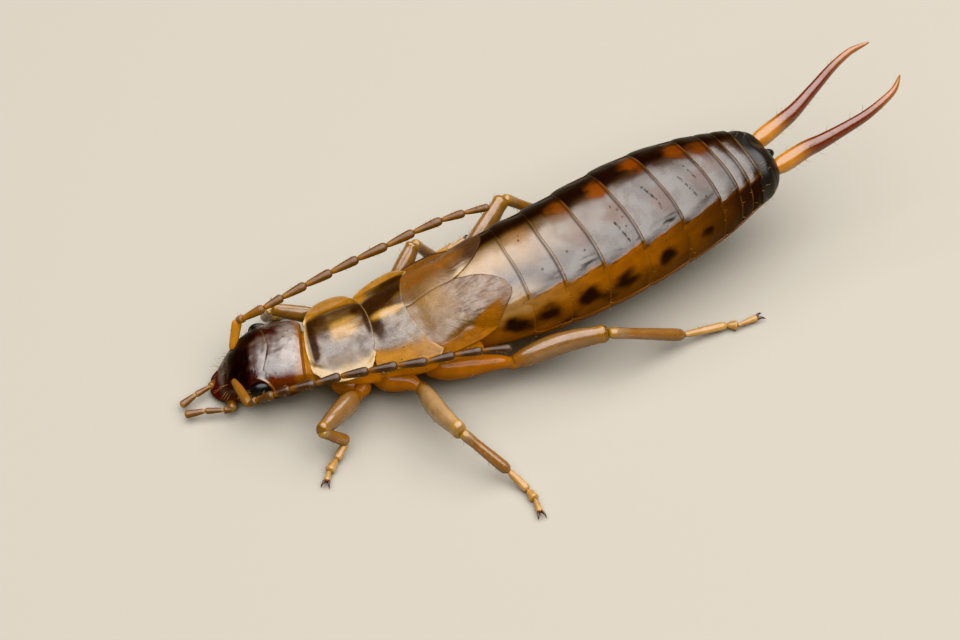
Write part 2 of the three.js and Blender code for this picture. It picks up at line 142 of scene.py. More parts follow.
def egg(angle: float, half_width: float, crest: float, underside: float, square: float) -> Pair:
    """Point of an egg-shaped section.

    Args:
        angle: From the crest, positive to the animal's right, in radians.
        half_width: Half the width.
        crest: Height of the top.
        underside: Height of the bottom.
        square: 2 for an ellipse, more for a boxier section.

    Returns:
        The point (y, z).
    """
    power = 2 / square
    middle, half_height = (crest + underside) / 2, (crest - underside) / 2
    y = half_width * signed_power(math.sin(angle), power)
    return y, middle + half_height * signed_power(math.cos(angle), power)


@dataclass
class Spine:
    """Mid-line of the body in the pose, which turns straight-body measures into places."""

    mouth: Triple = (-5.16, 1.53, 0.42)
    length: float = 15.6
    step: float = 0.02
    heading: Table = ((0, -21), (1.9, -21), (2.2, -13.5), (3.3, -9.5), (4.4, -4.5), (6, 0), (9, 8), (12.4, 6),
                      (15.6, 6))
    rise: Table = ((0, 9.5), (2, 9.5), (3.3, 8), (4.4, 6.5), (6, 4.5), (9, 2.5), (12.4, 4), (15.6, 14))
    eye: Triple = (1.13, 0.76, 0.07)
    frames: list = field(default_factory=list)
    shift: Vector = field(default_factory=Vector)

    def __post_init__(self) -> None:
        """Walks the mid-line and finds the pose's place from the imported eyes."""
        point = Vector(self.mouth)
        for i in range(int(self.length / self.step) + 1):
            s = i * self.step
            turn, climb = math.radians(along(self.heading, s)), math.radians(along(self.rise, s))
            level = math.cos(climb)
            ahead = Vector((math.cos(turn) * level, math.sin(turn) * level, math.sin(climb)))
            side = Vector((-math.sin(turn), math.cos(turn), 0.0))
            self.frames.append((point.copy(), side, ahead.cross(side)))
            point += ahead * self.step
        self.shift = sum((self.eye_offset(side) for side in Side), Vector()) / len(Side)

    def eye_offset(self, side: Side) -> Vector:
        """Vector from an eye's place in the pose to its place in the part's frame."""
        low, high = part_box(f"eye_{side.word}")
        return (low + high) / (2 * MM) - self.at(self.eye[0], side.value * self.eye[1], self.eye[2])

    def at(self, s: float, y: float, z: float) -> Vector:
        """Place in the part's frame of a point given on the straight body, in millimetres.

        Args:
            s: Place along the body.
            y: Place to the right.
            z: Height over the mid-line.

        Returns:
            The place, in millimetres.
        """
        where = min(max(s / self.step, 0.0), len(self.frames) - 1.001)
        low = self.frames[int(where)]
        high = self.frames[int(where) + 1]
        return self.shift + low[0].lerp(high[0], where - int(where)) + low[1] * y + low[2] * z

    def pose(self, point: Sequence[float]) -> Vector:
        """Place in the part's frame of a point given in the pose, in millimetres."""
        return self.shift + Vector(point)


SPINE = Spine()


class Nodes:
    """Short forms for the nodes of one material or group."""

    def __init__(self, tree: bpy.types.NodeTree) -> None:
        """Keeps the tree that the nodes go into."""
        self.tree = tree

    def add(self, kind: str, **settings: object) -> bpy.types.Node:
        """Adds a node and sets its properties.

        Args:
            kind: The node's type.
            settings: Its properties by name.

        Returns:
            The new node.
        """
        made = self.tree.nodes.new(kind)
        for name, value in settings.items():
            setattr(made, name, value)
        return made

    def feed(self, socket: Socket, value: object) -> None:
        """Links a socket to value, or sets it where value is a number or a tuple.

        Args:
            socket: The input.
            value: A socket, a number or a tuple.
        """
        if isinstance(value, Socket):
            self.tree.links.new(value, socket)
        else:
            socket.default_value = value

    def attribute(self, name: str) -> Socket:
        """Vector of a point attribute of the piece."""
        return self.add("ShaderNodeAttribute", attribute_name=name).outputs["Vector"]

    def split(self, vector: Socket) -> list[Socket]:
        """Three parts of a vector.

        Args:
            vector: The vector.

        Returns:
            Its x, y and z.
        """
        made = self.add("ShaderNodeSeparateXYZ")
        self.feed(made.inputs[0], vector)
        return list(made.outputs)

    def stretch(self, vector: Socket, scale: Triple) -> Socket:
        """Vector scaled along its axes.

        Args:
            vector: The vector.
            scale: Factors along x, y and z.

        Returns:
            The scaled vector.
        """
        made = self.add("ShaderNodeMapping")
        self.feed(made.inputs["Vector"], vector)
        made.inputs["Scale"].default_value = scale
        return made.outputs[0]

    def noise(self, vector: Socket, scale: object, detail: float, twist: float = 0.0) -> Socket:
        """Fractal noise from 0 to 1.

        Args:
            vector: Where the pattern is read.
            scale: How fine the pattern is.
            detail: Layers of finer noise.
            twist: How far the pattern is swirled.

        Returns:
            The noise.
        """
        made = self.add("ShaderNodeTexNoise")
        self.feed(made.inputs["Vector"], vector)
        self.feed(made.inputs["Scale"], scale)
        made.inputs["Detail"].default_value = detail
        made.inputs["Distortion"].default_value = twist
        return made.outputs["Fac"]

    def cells(self, vector: Socket, scale: object) -> Socket:
        """Distance to the nearest point of a scatter.

        Args:
            vector: Where the pattern is read.
            scale: How fine the pattern is.

        Returns:
            The distance.
        """
        made = self.add("ShaderNodeTexVoronoi")
        self.feed(made.inputs["Vector"], vector)
        self.feed(made.inputs["Scale"], scale)
        return made.outputs["Distance"]

    def step(self, value: object, low: float, high: float, start: float) -> Socket:
        """Soft step from start at low to 1 at high.

        Args:
            value: The value that is judged.
            low: Where the step begins.
            high: Where it ends.
            start: Result below low.

        Returns:
            The step.
        """
        made = self.add("ShaderNodeMapRange", interpolation_type="SMOOTHSTEP")
        for socket, number in zip(made.inputs, (value, low, high, start, 1.0)):
            self.feed(socket, number)
        return made.outputs[0]

    def math(self, operation: str, a: object, b: object) -> Socket:
        """Arithmetic on two values.

        Args:
            operation: Blender's name of it.
            a: First value.
            b: Second value.

        Returns:
            The result.
        """
        made = self.add("ShaderNodeMath", operation=operation)
        self.feed(made.inputs[0], a)
        self.feed(made.inputs[1], b)
        return made.outputs[0]

    def mix(self, share: object, a: object, b: object, blend: str = "MIX") -> Socket:
        """Colour between a and b.

        Args:
            share: 0 for a, 1 for b.
            a: First colour.
            b: Second colour.
            blend: Blender's name of the blend.

        Returns:
            The colour.
        """
        made = self.add("ShaderNodeMix", data_type="RGBA", blend_type=blend)
        self.feed(made.inputs[0], share)
        self.feed(made.inputs[6], colour(a) if isinstance(a, tuple) else a)
        self.feed(made.inputs[7], colour(b) if isinstance(b, tuple) else b)
        return made.outputs[2]

    def relief(self, height: object, distance: float) -> Socket:
        """Normal bent by a height, whose full swing is distance millimetres.

        Args:
            height: Height from 0 to 1.
            distance: The swing.

        Returns:
            The normal.
        """
        made = self.add("ShaderNodeBump")
        made.inputs["Strength"].default_value = 1.0
        made.inputs["Distance"].default_value = distance * MM
        self.feed(made.inputs["Height"], height)
        return made.outputs[0]

    def group(self, tree: bpy.types.NodeTree, **values: object) -> dict[str, Socket]:
        """Places a node group, with its inputs by name, and returns its outputs by name.

        Args:
            tree: The group.
            values: Its inputs.

        Returns:
            Its outputs.
        """
        made = self.add("ShaderNodeGroup")
        made.node_tree = tree
        for name, value in values.items():
            self.feed(made.inputs[name], value)
        return {socket.name: socket for socket in made.outputs}


def colour(rgb: Triple) -> tuple[float, float, float, float]:
    """Opaque colour."""
    return (*rgb, 1.0)


def new_group(name: str, inputs: dict[str, object],
              outputs: Sequence[str]) -> tuple[Nodes, dict[str, Socket]]:
    """Starts a shader node group.

    Args:
        name: The group's name.
        inputs: Socket name to default: a number, or None for a vector.
        outputs: Names of its outputs, which are numbers.

    Returns:
        The group's node helper and its input sockets by name.
    """
    tree = bpy.data.node_groups.new(name, "ShaderNodeTree")
    for word, default in inputs.items():
        kind = "NodeSocketVector" if default is None else "NodeSocketFloat"
        made = tree.interface.new_socket(word, in_out="INPUT", socket_type=kind)
        if default is not None:
            made.default_value = default
    for word in outputs:
        tree.interface.new_socket(word, in_out="OUTPUT", socket_type="NodeSocketFloat")
    nodes = Nodes(tree)
    source = nodes.add("NodeGroupInput")
    return nodes, {socket.name: socket for socket in source.outputs if socket.name}


class Effects:
    """Shared shader effects of cuticle, each a node group that is made once."""

    def __init__(self) -> None:
        """Builds the groups."""
        self.grain = self.make_grain()
        self.mottle = self.make_mottle()

    @staticmethod
    def make_grain() -> bpy.types.NodeTree:
        """Surface height of cuticle: fine grain, long wrinkles and scattered pits.

        Returns:
            The group.
        """
        inputs = {"Vector": None, "Grain": 60.0, "Wrinkle": 9.0, "Pits": 5.0, "Pit size": 0.1}
        outputs = ("Height", "Pit", "Fine")
        nodes, given = new_group("cuticle_grain", inputs, outputs)
        fine = nodes.noise(given["Vector"], given["Grain"], 2.0)
        long = nodes.noise(nodes.stretch(given["Vector"], (1.0, 2.6, 2.6)), given["Wrinkle"], 3.0, 0.4)
        pit = nodes.math("LESS_THAN", nodes.cells(given["Vector"], given["Pits"]), given["Pit size"])
        height = nodes.math("ADD", nodes.math("MULTIPLY", fine, 0.35), long)
        height = nodes.math("SUBTRACT", height, nodes.math("MULTIPLY", pit, 0.6))
        sink = nodes.add("NodeGroupOutput")
        for word, value in zip(outputs, (height, pit, fine)):
            nodes.feed(sink.inputs[word], value)
        return nodes.tree

    @staticmethod
    def make_mottle() -> bpy.types.NodeTree:
        """Cloudy light and dark of pigment under cuticle, around 1.

        Returns:
            The group.
        """
        nodes, given = new_group("pigment_mottle", {"Vector": None, "Scale": 6.0, "Amount": 0.3}, ("Factor",))
        cloud = nodes.noise(given["Vector"], given["Scale"], 4.0, 0.6)
        swing = nodes.math("MULTIPLY", nodes.math("SUBTRACT", cloud, 0.5), given["Amount"])
        factor = nodes.math("ADD", nodes.math("MULTIPLY", swing, 2.0), 1.0)
        nodes.feed(nodes.add("NodeGroupOutput").inputs["Factor"], factor)
        return nodes.tree


EFFECTS = Effects()


@dataclass(frozen=True)
class Finish:
    """A cuticle finish: a ground colour and up to six marks, each laid where a mask of the piece says."""

    name: str
    ground: Triple
    marks_a: tuple = ()
    marks_b: tuple = ()
    roughness: float = 0.3
    specular: float = 0.5
    ior: float = 1.5
    coat: float = 0.8
    coat_ior: float = 1.85
    coat_roughness: float = 0.3
    uneven: float = 0.15
    dull: tuple = ()
    soft: float = 0.0
    soft_depth: float = 0.25
    soft_colour: Triple = (1.0, 0.45, 0.15)
    grain: float = 60.0
    wrinkle: float = 9.0
    pits: float = 5.0
    pit_size: float = 0.07
    relief: float = 0.012
    mottle: float = 0.25
    mottle_scale: float = 6.0
    dusting: float = 0.3
    speckle: float = 0.0
    pit_darkening: Triple = (0.01, 0.006, 0.004)

    def material(self) -> bpy.types.Material:
        """The finish as a material, made at its first use.

        Returns:
            The material.
        """
        known = bpy.data.materials.get(self.name)
        if known:
            return known
        made = bpy.data.materials.new(self.name)
        made.use_nodes = True
        made.node_tree.nodes.clear()
        nodes = Nodes(made.node_tree)
        shader = nodes.add("ShaderNodeBsdfPrincipled")
        self.dress(nodes, shader)
        nodes.feed(nodes.add("ShaderNodeOutputMaterial").inputs["Surface"], shader.outputs[0])
        return made

    def dress(self, nodes: Nodes, shader: bpy.types.Node) -> None:
        """Feeds the shader of the material.

        Args:
            nodes: The material's node helper.
            shader: Its Principled BSDF.
        """
        lay = nodes.attribute("lay")
        masks = nodes.split(nodes.attribute("mask_a")) + nodes.split(nodes.attribute("mask_b"))
        base = self.ground
        for mask, mark in [*zip(masks, self.marks_a), *zip(masks[3:], self.marks_b)]:
            base = nodes.mix(mask, base, mark)
        grain = nodes.group(EFFECTS.grain, Vector=lay, Grain=self.grain, Wrinkle=self.wrinkle, Pits=self.pits,
                            **{"Pit size": self.pit_size})
        mottle = nodes.group(EFFECTS.mottle, Vector=lay, Scale=self.mottle_scale, Amount=self.mottle)
        base = nodes.mix(1.0, base, mottle["Factor"], "MULTIPLY")
        if self.speckle:
            dots = nodes.step(grain["Fine"], 0.42, 0.62, 1 - self.speckle)
            base = nodes.mix(1.0, base, dots, "MULTIPLY")
        # The pits are darkened with this colour.
        base = nodes.mix(nodes.math("MULTIPLY", grain["Pit"], 0.7), base, self.pit_darkening)
        nodes.feed(shader.inputs["Base Color"], base)
        swing = nodes.math("MULTIPLY", nodes.math("SUBTRACT", grain["Fine"], 0.5), 0.16)
        nodes.feed(shader.inputs["Roughness"], nodes.math("ADD", self.roughness, swing))
        shader.inputs["Specular IOR Level"].default_value = self.specular
        shader.inputs["IOR"].default_value = self.ior
        cloud = nodes.noise(lay, self.mottle_scale * 0.8, 5.0, 0.5)
        cloud = nodes.step(cloud, 0.36, 0.6, 1 - self.uneven)
        dusting = nodes.step(grain["Fine"], 0.36, 0.6, 1 - self.dusting)
        shine = nodes.math("MULTIPLY", nodes.math("MULTIPLY", cloud, dusting), self.coat)
        for index in self.dull:
            shine = nodes.math("MULTIPLY", shine, nodes.math("SUBTRACT", 1.0, masks[index]))
        nodes.feed(shader.inputs["Coat Weight"], shine)
        shader.inputs["Coat IOR"].default_value = self.coat_ior
        shader.inputs["Coat Roughness"].default_value = self.coat_roughness
        shader.inputs["Subsurface Weight"].default_value = self.soft
        shader.inputs["Subsurface Radius"].default_value = self.soft_colour
        shader.inputs["Subsurface Scale"].default_value = self.soft_depth * MM
        nodes.feed(shader.inputs["Normal"], nodes.relief(grain["Height"], self.relief))


class Form:
    """A mesh that is being shaped, in millimetres of the part's frame."""

    def __init__(self) -> None:
        """Starts an empty mesh with the attributes that the finishes read."""
        self.bm = bmesh.new()
        self.layers = [self.bm.verts.layers.float_vector.new(name) for name in ("lay", "mask_a", "mask_b")]

    def sheet(self, columns: int, rows: int, place: Place) -> list[bmesh.types.BMVert]:
        """Adds a grid whose corners go where place says.

        Args:
            columns: Squares along u.
            rows: Squares along v.
            place: Gives the point, its lay and its masks for u and v from 0 to 1.

        Returns:
            The grid's vertices, with those that meet merged.
        """
        made = bmesh.ops.create_grid(self.bm, x_segments=columns, y_segments=rows, size=1.0)["verts"]
        for vert in made:
            point, lay, mask_a, mask_b = place((vert.co.x + 1) / 2, (vert.co.y + 1) / 2)
            vert.co = point
            for layer, value in zip(self.layers, (lay, mask_a, mask_b)):
                vert[layer] = value
        bmesh.ops.remove_doubles(self.bm, verts=made, dist=MERGE)
        return [vert for vert in made if vert.is_valid]

    def shell(self, columns: int, rows: int, place: Place, thickness: float) -> None:
        """Adds a sheet with a wall of the given thickness on its inner side.

        Args:
            columns: Squares along u.
            rows: Squares along v.
            place: As for a sheet.
            thickness: Thickness of the wall.
        """
        before = set(self.bm.faces)
        self.sheet(columns, rows, place)
        faces = [face for face in self.bm.faces if face not in before]
        bmesh.ops.recalc_face_normals(self.bm, faces=faces)
        bmesh.ops.solidify(self.bm, geom=faces, thickness=thickness)

    def tube(self, line: Sequence[Vector], radii: Sequence[float], sides: int, flat: float = 1.0,
             trait: Trait | None = None, origin: float = 0.0) -> list[bmesh.types.BMVert]:
        """Adds a closed tube.

        Args:
            line: Points of the centre line.
            radii: Half thickness at each point; the ends are closed to a point.
            sides: Corners round the tube.
            flat: Height of the section as a share of its width.
            trait: Gives both masks for a share along the tube.
            origin: Lay of the root along the limb.

        Returns:
            The tube's vertices.
        """
        stations = [(line[0], 0.0), *zip(line, radii), (line[-1], 0.0)]
        last = len(line) - 1
        ways = [(line[min(i + 1, last)] - line[max(i - 1, 0)]).normalized() for i in range(last + 1)]
        ways = [ways[0], *ways, ways[-1]]
        runs = [0.0]
        for i in range(1, len(stations)):
            runs.append(runs[-1] + (stations[i][0] - stations[i - 1][0]).length)
        columns = len(stations) - 1

        def place(u: float, v: float) -> Spot:
            """Point, lay and masks at u and v."""
            k = round(u * columns)
            centre, radius = stations[k]
            way = ways[k]
            wide = (UP - way * UP.dot(way)).normalized()
            high = way.cross(wide)
            angle = TURN * v
            across = wide * math.cos(angle) + high * math.sin(angle) * flat
            share = runs[k] / max(runs[-1], MERGE)
            masks = trait(share) if trait else (NONE, NONE)
            turn = (math.cos(angle) * radius, math.sin(angle) * radius)
            return (centre + across * radius, (origin + runs[k], *turn), *masks)

        return self.sheet(columns, sides, place)

    def finish(self, name: str, finish: Finish, slot: str, *nodes: str) -> None:
        """Turns the form into a piece that rides on the part's body.

        Args:
            name: The piece's name.
            finish: Its finish.
            slot: The record's material slot; not used.
            nodes: The CAD nodes that it stands for.
        """
        bmesh.ops.recalc_face_normals(self.bm, faces=self.bm.faces)
        bmesh.ops.transform(self.bm, matrix=Matrix.Scale(MM, 4), verts=self.bm.verts)
        for face in self.bm.faces:
            face.smooth = True
        mesh = bpy.data.meshes.new(name)
        self.bm.to_mesh(mesh)
        self.bm.free()
        piece = bpy.data.objects.new(name, mesh)
        bpy.context.scene.collection.objects.link(piece)
        mesh.materials.append(finish.material())
        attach(piece, "root")
        if nodes:
            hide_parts(*nodes)
        LOG.info("%s: %d faces", name, len(mesh.polygons))


class Bristles:
    """Fine stiff hairs of one region, each a thin closed spike with its own patch of the OFBake map."""

    RADII = (0.0045, 0.004, 0.003, 0.0012)
    SIDES = 4
    FLOOR_GAP = 0.01

    def __init__(self, seed: int) -> None:
        """Starts with no hairs and a fixed draw.

        Args:
            seed: Number that fixes the draw.
        """
        self.form = Form()
        self.map = self.form.bm.loops.layers.uv.new("OFBake")
        self.draw = random.Random(seed)

    def add(self, root: Vector, out: Vector, ahead: Vector, length: float, place: Pair) -> None:
        """Plants one hair.

        Args:
            root: Where it grows, in millimetres of the part's frame.
            out: Direction away from the skin.
            ahead: Direction that it leans to.
            length: Its length.
            place: Its root's place on the unwrapped skin, from 0 to 1 both ways.
        """
        out, ahead = out.normalized(), ahead.normalized()
        way = out + ahead * self.draw.uniform(0.5, 1.1) + out.cross(ahead) * self.draw.uniform(-0.3, 0.3)
        way.normalize()
        tip = root + way * length + ahead * length * 0.12
        if tip.z < self.FLOOR_GAP:
            return
        line = [root - out * 0.006, root + way * length * 0.4,
                root + way * length * 0.75 + ahead * length * 0.05, tip]
        lay = self.form.layers[0]
        for vert in self.form.tube(line, self.RADII, self.SIDES):
            spot = (place[0] + 0.003 * (vert[lay].x / (length * 1.3) - 0.5),
                    place[1] + 0.0015 * vert[lay].z / self.RADII[0])
            for loop in vert.link_loops:
                loop[self.map].uv = spot

    def round_line(self, line: Sequence[Vector], radii: Sequence[float], count: int, length: float,
                   start: float) -> None:
        """Plants hairs all round a stretch of limb.

        Args:
            line: Centre line of the stretch.
            radii: Half thickness at each point.
            count: How many hairs.
            length: Their usual length.
            start: Place of the stretch along the unwrapped limb, from 0 to 1.
        """
        for _ in range(count):
            k = self.draw.randint(1, len(line) - 2)
            way = (line[k + 1] - line[k - 1]).normalized()
            wide = way.orthogonal().normalized()
            angle = self.draw.uniform(0, TURN)
            out = wide * math.cos(angle) + way.cross(wide) * math.sin(angle)
            place = (start + 0.07 * k / len(line), 0.01 + 0.98 * angle / TURN)
            self.add(line[k] + out * radii[k] * 0.96, out, way, length * self.draw.uniform(0.7, 1.2), place)

    def on_body(self, surface: Callable[..., Pair], s: float, degrees: float, length: float,
                lean: float) -> None:
        """Plants a hair on the head or abdomen.

        Args:
            surface: Gives (y, z) of the skin at s, an angle from the top and a lift.
            s: Place along the body.
            degrees: Angle from the top.
            length: Its length.
            lean: 1 to lean towards the tail, -1 towards the mouth.
        """
        angle = math.radians(degrees)
        root = SPINE.at(s, *surface(s, angle, 0.0))
        out = SPINE.at(s, *surface(s, angle, 0.1)) - root
        back = SPINE.at(s + 0.1 * lean, *surface(s + 0.1 * lean, angle, 0.0)) - root
        place = (0.01 + s / 16.5, 0.5 + degrees / 366)
        self.add(root, out, back, length * self.draw.uniform(0.7, 1.25), place)

    def finish(self, name: str, slot: str) -> None:
        """Turns the hairs into a piece of the part."""
        self.form.finish(name, BRISTLE, slot)


def tint(red: float, green: float, blue: float, share: float = 1.0) -> Triple:
    """Linear colour from display values of 0 to 255, times share.

    Args:
        red: Red.
        green: Green.
        blue: Blue.
        share: Darkens the colour.

    Returns:
        The colour.
    """

    def linear(value: float) -> float:
        """Linear value of a display value from 0 to 1."""
        return ((value + 0.055) / 1.055) ** 2.4 if value > 0.0404 else value / 12.92

    return tuple(share * linear(value / 255) for value in (red, green, blue))


def curve(points: Sequence[Vector], count: int) -> list[Vector]:
    """Evenly spread points of a smooth line through the given ones.

    Args:
        points: Points that the line passes.
        count: How many to return.

    Returns:
        The points.
    """
    runs = [0.0]
    for a, b in zip(points, points[1:]):
        runs.append(runs[-1] + (b - a).length)
    tables = [tuple((run, point[i]) for run, point in zip(runs, points)) for i in range(3)]
    return [Vector([along(table, runs[-1] * k / (count - 1)) for table in tables]) for k in range(count)]


def taper(table: Table, count: int, scale: float = 1.0) -> list[float]:
    """Values of a table at evenly spread places from 0 to 1, times scale."""
    return [scale * along(table, k / (count - 1)) for k in range(count)]


def soft_spot(across: float, up: float, s: float, turn: float) -> float:
    """Cloudy spot of radius 1, whose edge wanders with the place on the body."""
    reach = math.hypot(across, up) + 0.3 * rough(s, turn / 30, 3.1, 4) + 0.18 * rough(s, turn / 30, 7.7, 11)
    return smooth(1.25, 0.35, reach)


def near_line(s: float, y: float, ends: Sequence[Pair]) -> float:
    """Distance from (s, y) to a broken line.

    Args:
        s: Place along the body.
        y: Place to the right.
        ends: Corners of the line.

    Returns:
        The distance.
    """
    spot = Vector((s, y))
    best = 99.0
    for a, b in zip(ends, ends[1:]):
        start, way = Vector(a), Vector(b) - Vector(a)
        share = min(max((spot - start).dot(way) / way.length_squared, 0.0), 1.0)
        best = min(best, (spot - start - way * share).length)
    return best


# Head: the pale grey-lilac crown colour is partly painted sheen, and the near-black face colour is partly
# painted shade.
CUTICLE_HEAD = Finish(
    "head cuticle", tint(70, 20, 6, 0.36),
    (tint(186, 164, 152, 0.25), tint(100, 40, 2, 0.5), tint(150, 86, 14, 0.42)),
    (tint(10, 1, 1, 0.4), tint(196, 140, 92, 0.45), tint(84, 10, 3, 0.4)),
    specular=0.12, relief=0.007, grain=70, wrinkle=11, pits=9, pit_size=0.17, mottle=0.35, coat=0.95,
    coat_ior=2.0, coat_roughness=0.27, uneven=0.3, dull=(1, 3, 5))
EYE = Finish(
    "compound eye", tint(18, 22, 24, 0.6), roughness=0.42, relief=0.0, grain=30, pits=40, pit_size=0.0,
    coat=0.0)
# Feelers: the second colour is partly painted light from behind on the right feeler, and the greyish last
# colour is a painted highlight at the bead ends.
FEELER = Finish(
    "feeler cuticle", tint(82, 52, 32, 0.4),
    (tint(160, 108, 50, 0.42), tint(194, 130, 48, 0.62), tint(190, 136, 80, 0.45)),
    (tint(150, 122, 104, 0.35),),
    roughness=0.4, specular=0.2, relief=0.006, grain=50, soft=0.1, pits=14, pit_size=0.05, coat=0.4,
    coat_ior=1.7, coat_roughness=0.32, dull=(0, 1))
PALP = Finish(
    "palp cuticle", tint(142, 94, 44, 0.4), (tint(190, 146, 88, 0.42), tint(98, 56, 24, 0.42)), specular=0.25,
    soft=0.15, relief=0.003, coat=0.3)
MEMBRANE = Finish("joint membrane", tint(184, 116, 30, 0.78), roughness=0.4, soft=0.15, wrinkle=16, coat=0.1)
# Thorax: the dark colour is partly painted shade on the right of the plates, and the bright amber of the
# chest is partly painted light through its sides in the plates' shade.
CUTICLE_THORAX = Finish(
    "thorax cuticle", tint(144, 106, 62, 0.28),
    (tint(62, 26, 6, 0.24), tint(216, 164, 84, 0.46), tint(186, 128, 50, 0.46)),
    (tint(240, 206, 150, 0.5), tint(192, 114, 8, 0.85), tint(112, 76, 50, 0.22)),
    roughness=0.4, specular=0.12, relief=0.014, wrinkle=13, mottle=0.4, mottle_scale=5.0, coat=0.95,
    coat_ior=1.95, coat_roughness=0.27, uneven=0.45, dusting=0.45, dull=(0, 2, 4))
WING_PAD = Finish(
    "wing pad cuticle", tint(172, 128, 78, 0.27), (tint(60, 32, 14, 0.22), tint(200, 158, 104, 0.4)),
    (tint(244, 214, 160, 0.55), tint(160, 96, 8, 0.42), tint(150, 112, 92, 0.34)),
    roughness=0.4, specular=0.12, relief=0.016, grain=45, wrinkle=14, mottle=0.45, mottle_scale=5.0,
    coat=0.85, coat_ior=1.8, coat_roughness=0.26, uneven=0.5, dusting=0.2, dull=(0, 1, 4))
# Abdomen: the dark blob colour also serves as painted shade on the lower flank, and the last colour is
# painted shade in the side creases, just in front of the hind margins and over the left and right of the
# back, as well as the dark of pits and scratches; gloss is taken off under both.
CUTICLE_ABDOMEN = Finish(
    "abdomen cuticle", tint(52, 29, 7, 0.85),
    (tint(158, 90, 6, 0.72), tint(46, 13, 0, 0.4), tint(150, 70, 4, 0.44)),
    (tint(196, 156, 108, 0.52), tint(176, 128, 72, 0.42), tint(34, 9, 3, 0.3)),
    roughness=0.38, specular=0.12, relief=0.005, wrinkle=5, grain=90, mottle=0.35, mottle_scale=4.0,
    speckle=0.4, coat=0.86, coat_ior=2.0, coat_roughness=0.26, uneven=0.2, dusting=0.4, dull=(0, 1, 2, 5))
CUTICLE_TAIL = Finish(
    "tail cuticle", tint(18, 7, 4, 0.3), roughness=0.45, relief=0.005, pits=8, pit_size=0.08, coat=0.1)
FORCEPS_FINISH = Finish(
    "forceps cuticle", tint(118, 42, 2, 0.5), (tint(214, 140, 46, 0.5), tint(176, 104, 40, 0.5)),
    roughness=0.26, soft=0.1, relief=0.003, coat=0.6)
LEG = Finish(
    "leg cuticle", tint(192, 152, 110, 0.38),
    (tint(200, 150, 66, 0.42), tint(168, 112, 54, 0.4), tint(90, 38, 12, 0.5)),
    (tint(216, 164, 92, 0.48), tint(168, 94, 0, 0.62), tint(236, 196, 140, 0.5)),
    roughness=0.22, specular=0.3, soft=0.15, relief=0.004, grain=40, wrinkle=7, pits=10, pit_size=0.05,
    mottle=0.35, mottle_scale=4.0, coat=0.6, coat_ior=1.8, coat_roughness=0.14, uneven=0.5, dull=(4,))
CLAW = Finish("claw horn", tint(74, 24, 10, 0.5), roughness=0.25, relief=0.0, coat=0.2)
BRISTLE = Finish("bristle", tint(196, 156, 108, 0.45), roughness=0.35, relief=0.0, pit_size=0.0, coat=0.2)


@dataclass
class Barrel:
    """A stretch of the body with an egg-shaped section, given by tables along it."""

    half_width: Table
    crest: Table
    underside: Table
    square: float

    def surface(self, s: float, angle: float, lift: float = 0.0) -> Pair:
        """Point (y, z) of the skin at s, lifted outward."""
        return egg(angle, along(self.half_width, s) + lift, along(self.crest, s) + lift,
                   along(self.underside, s) - lift, self.square)


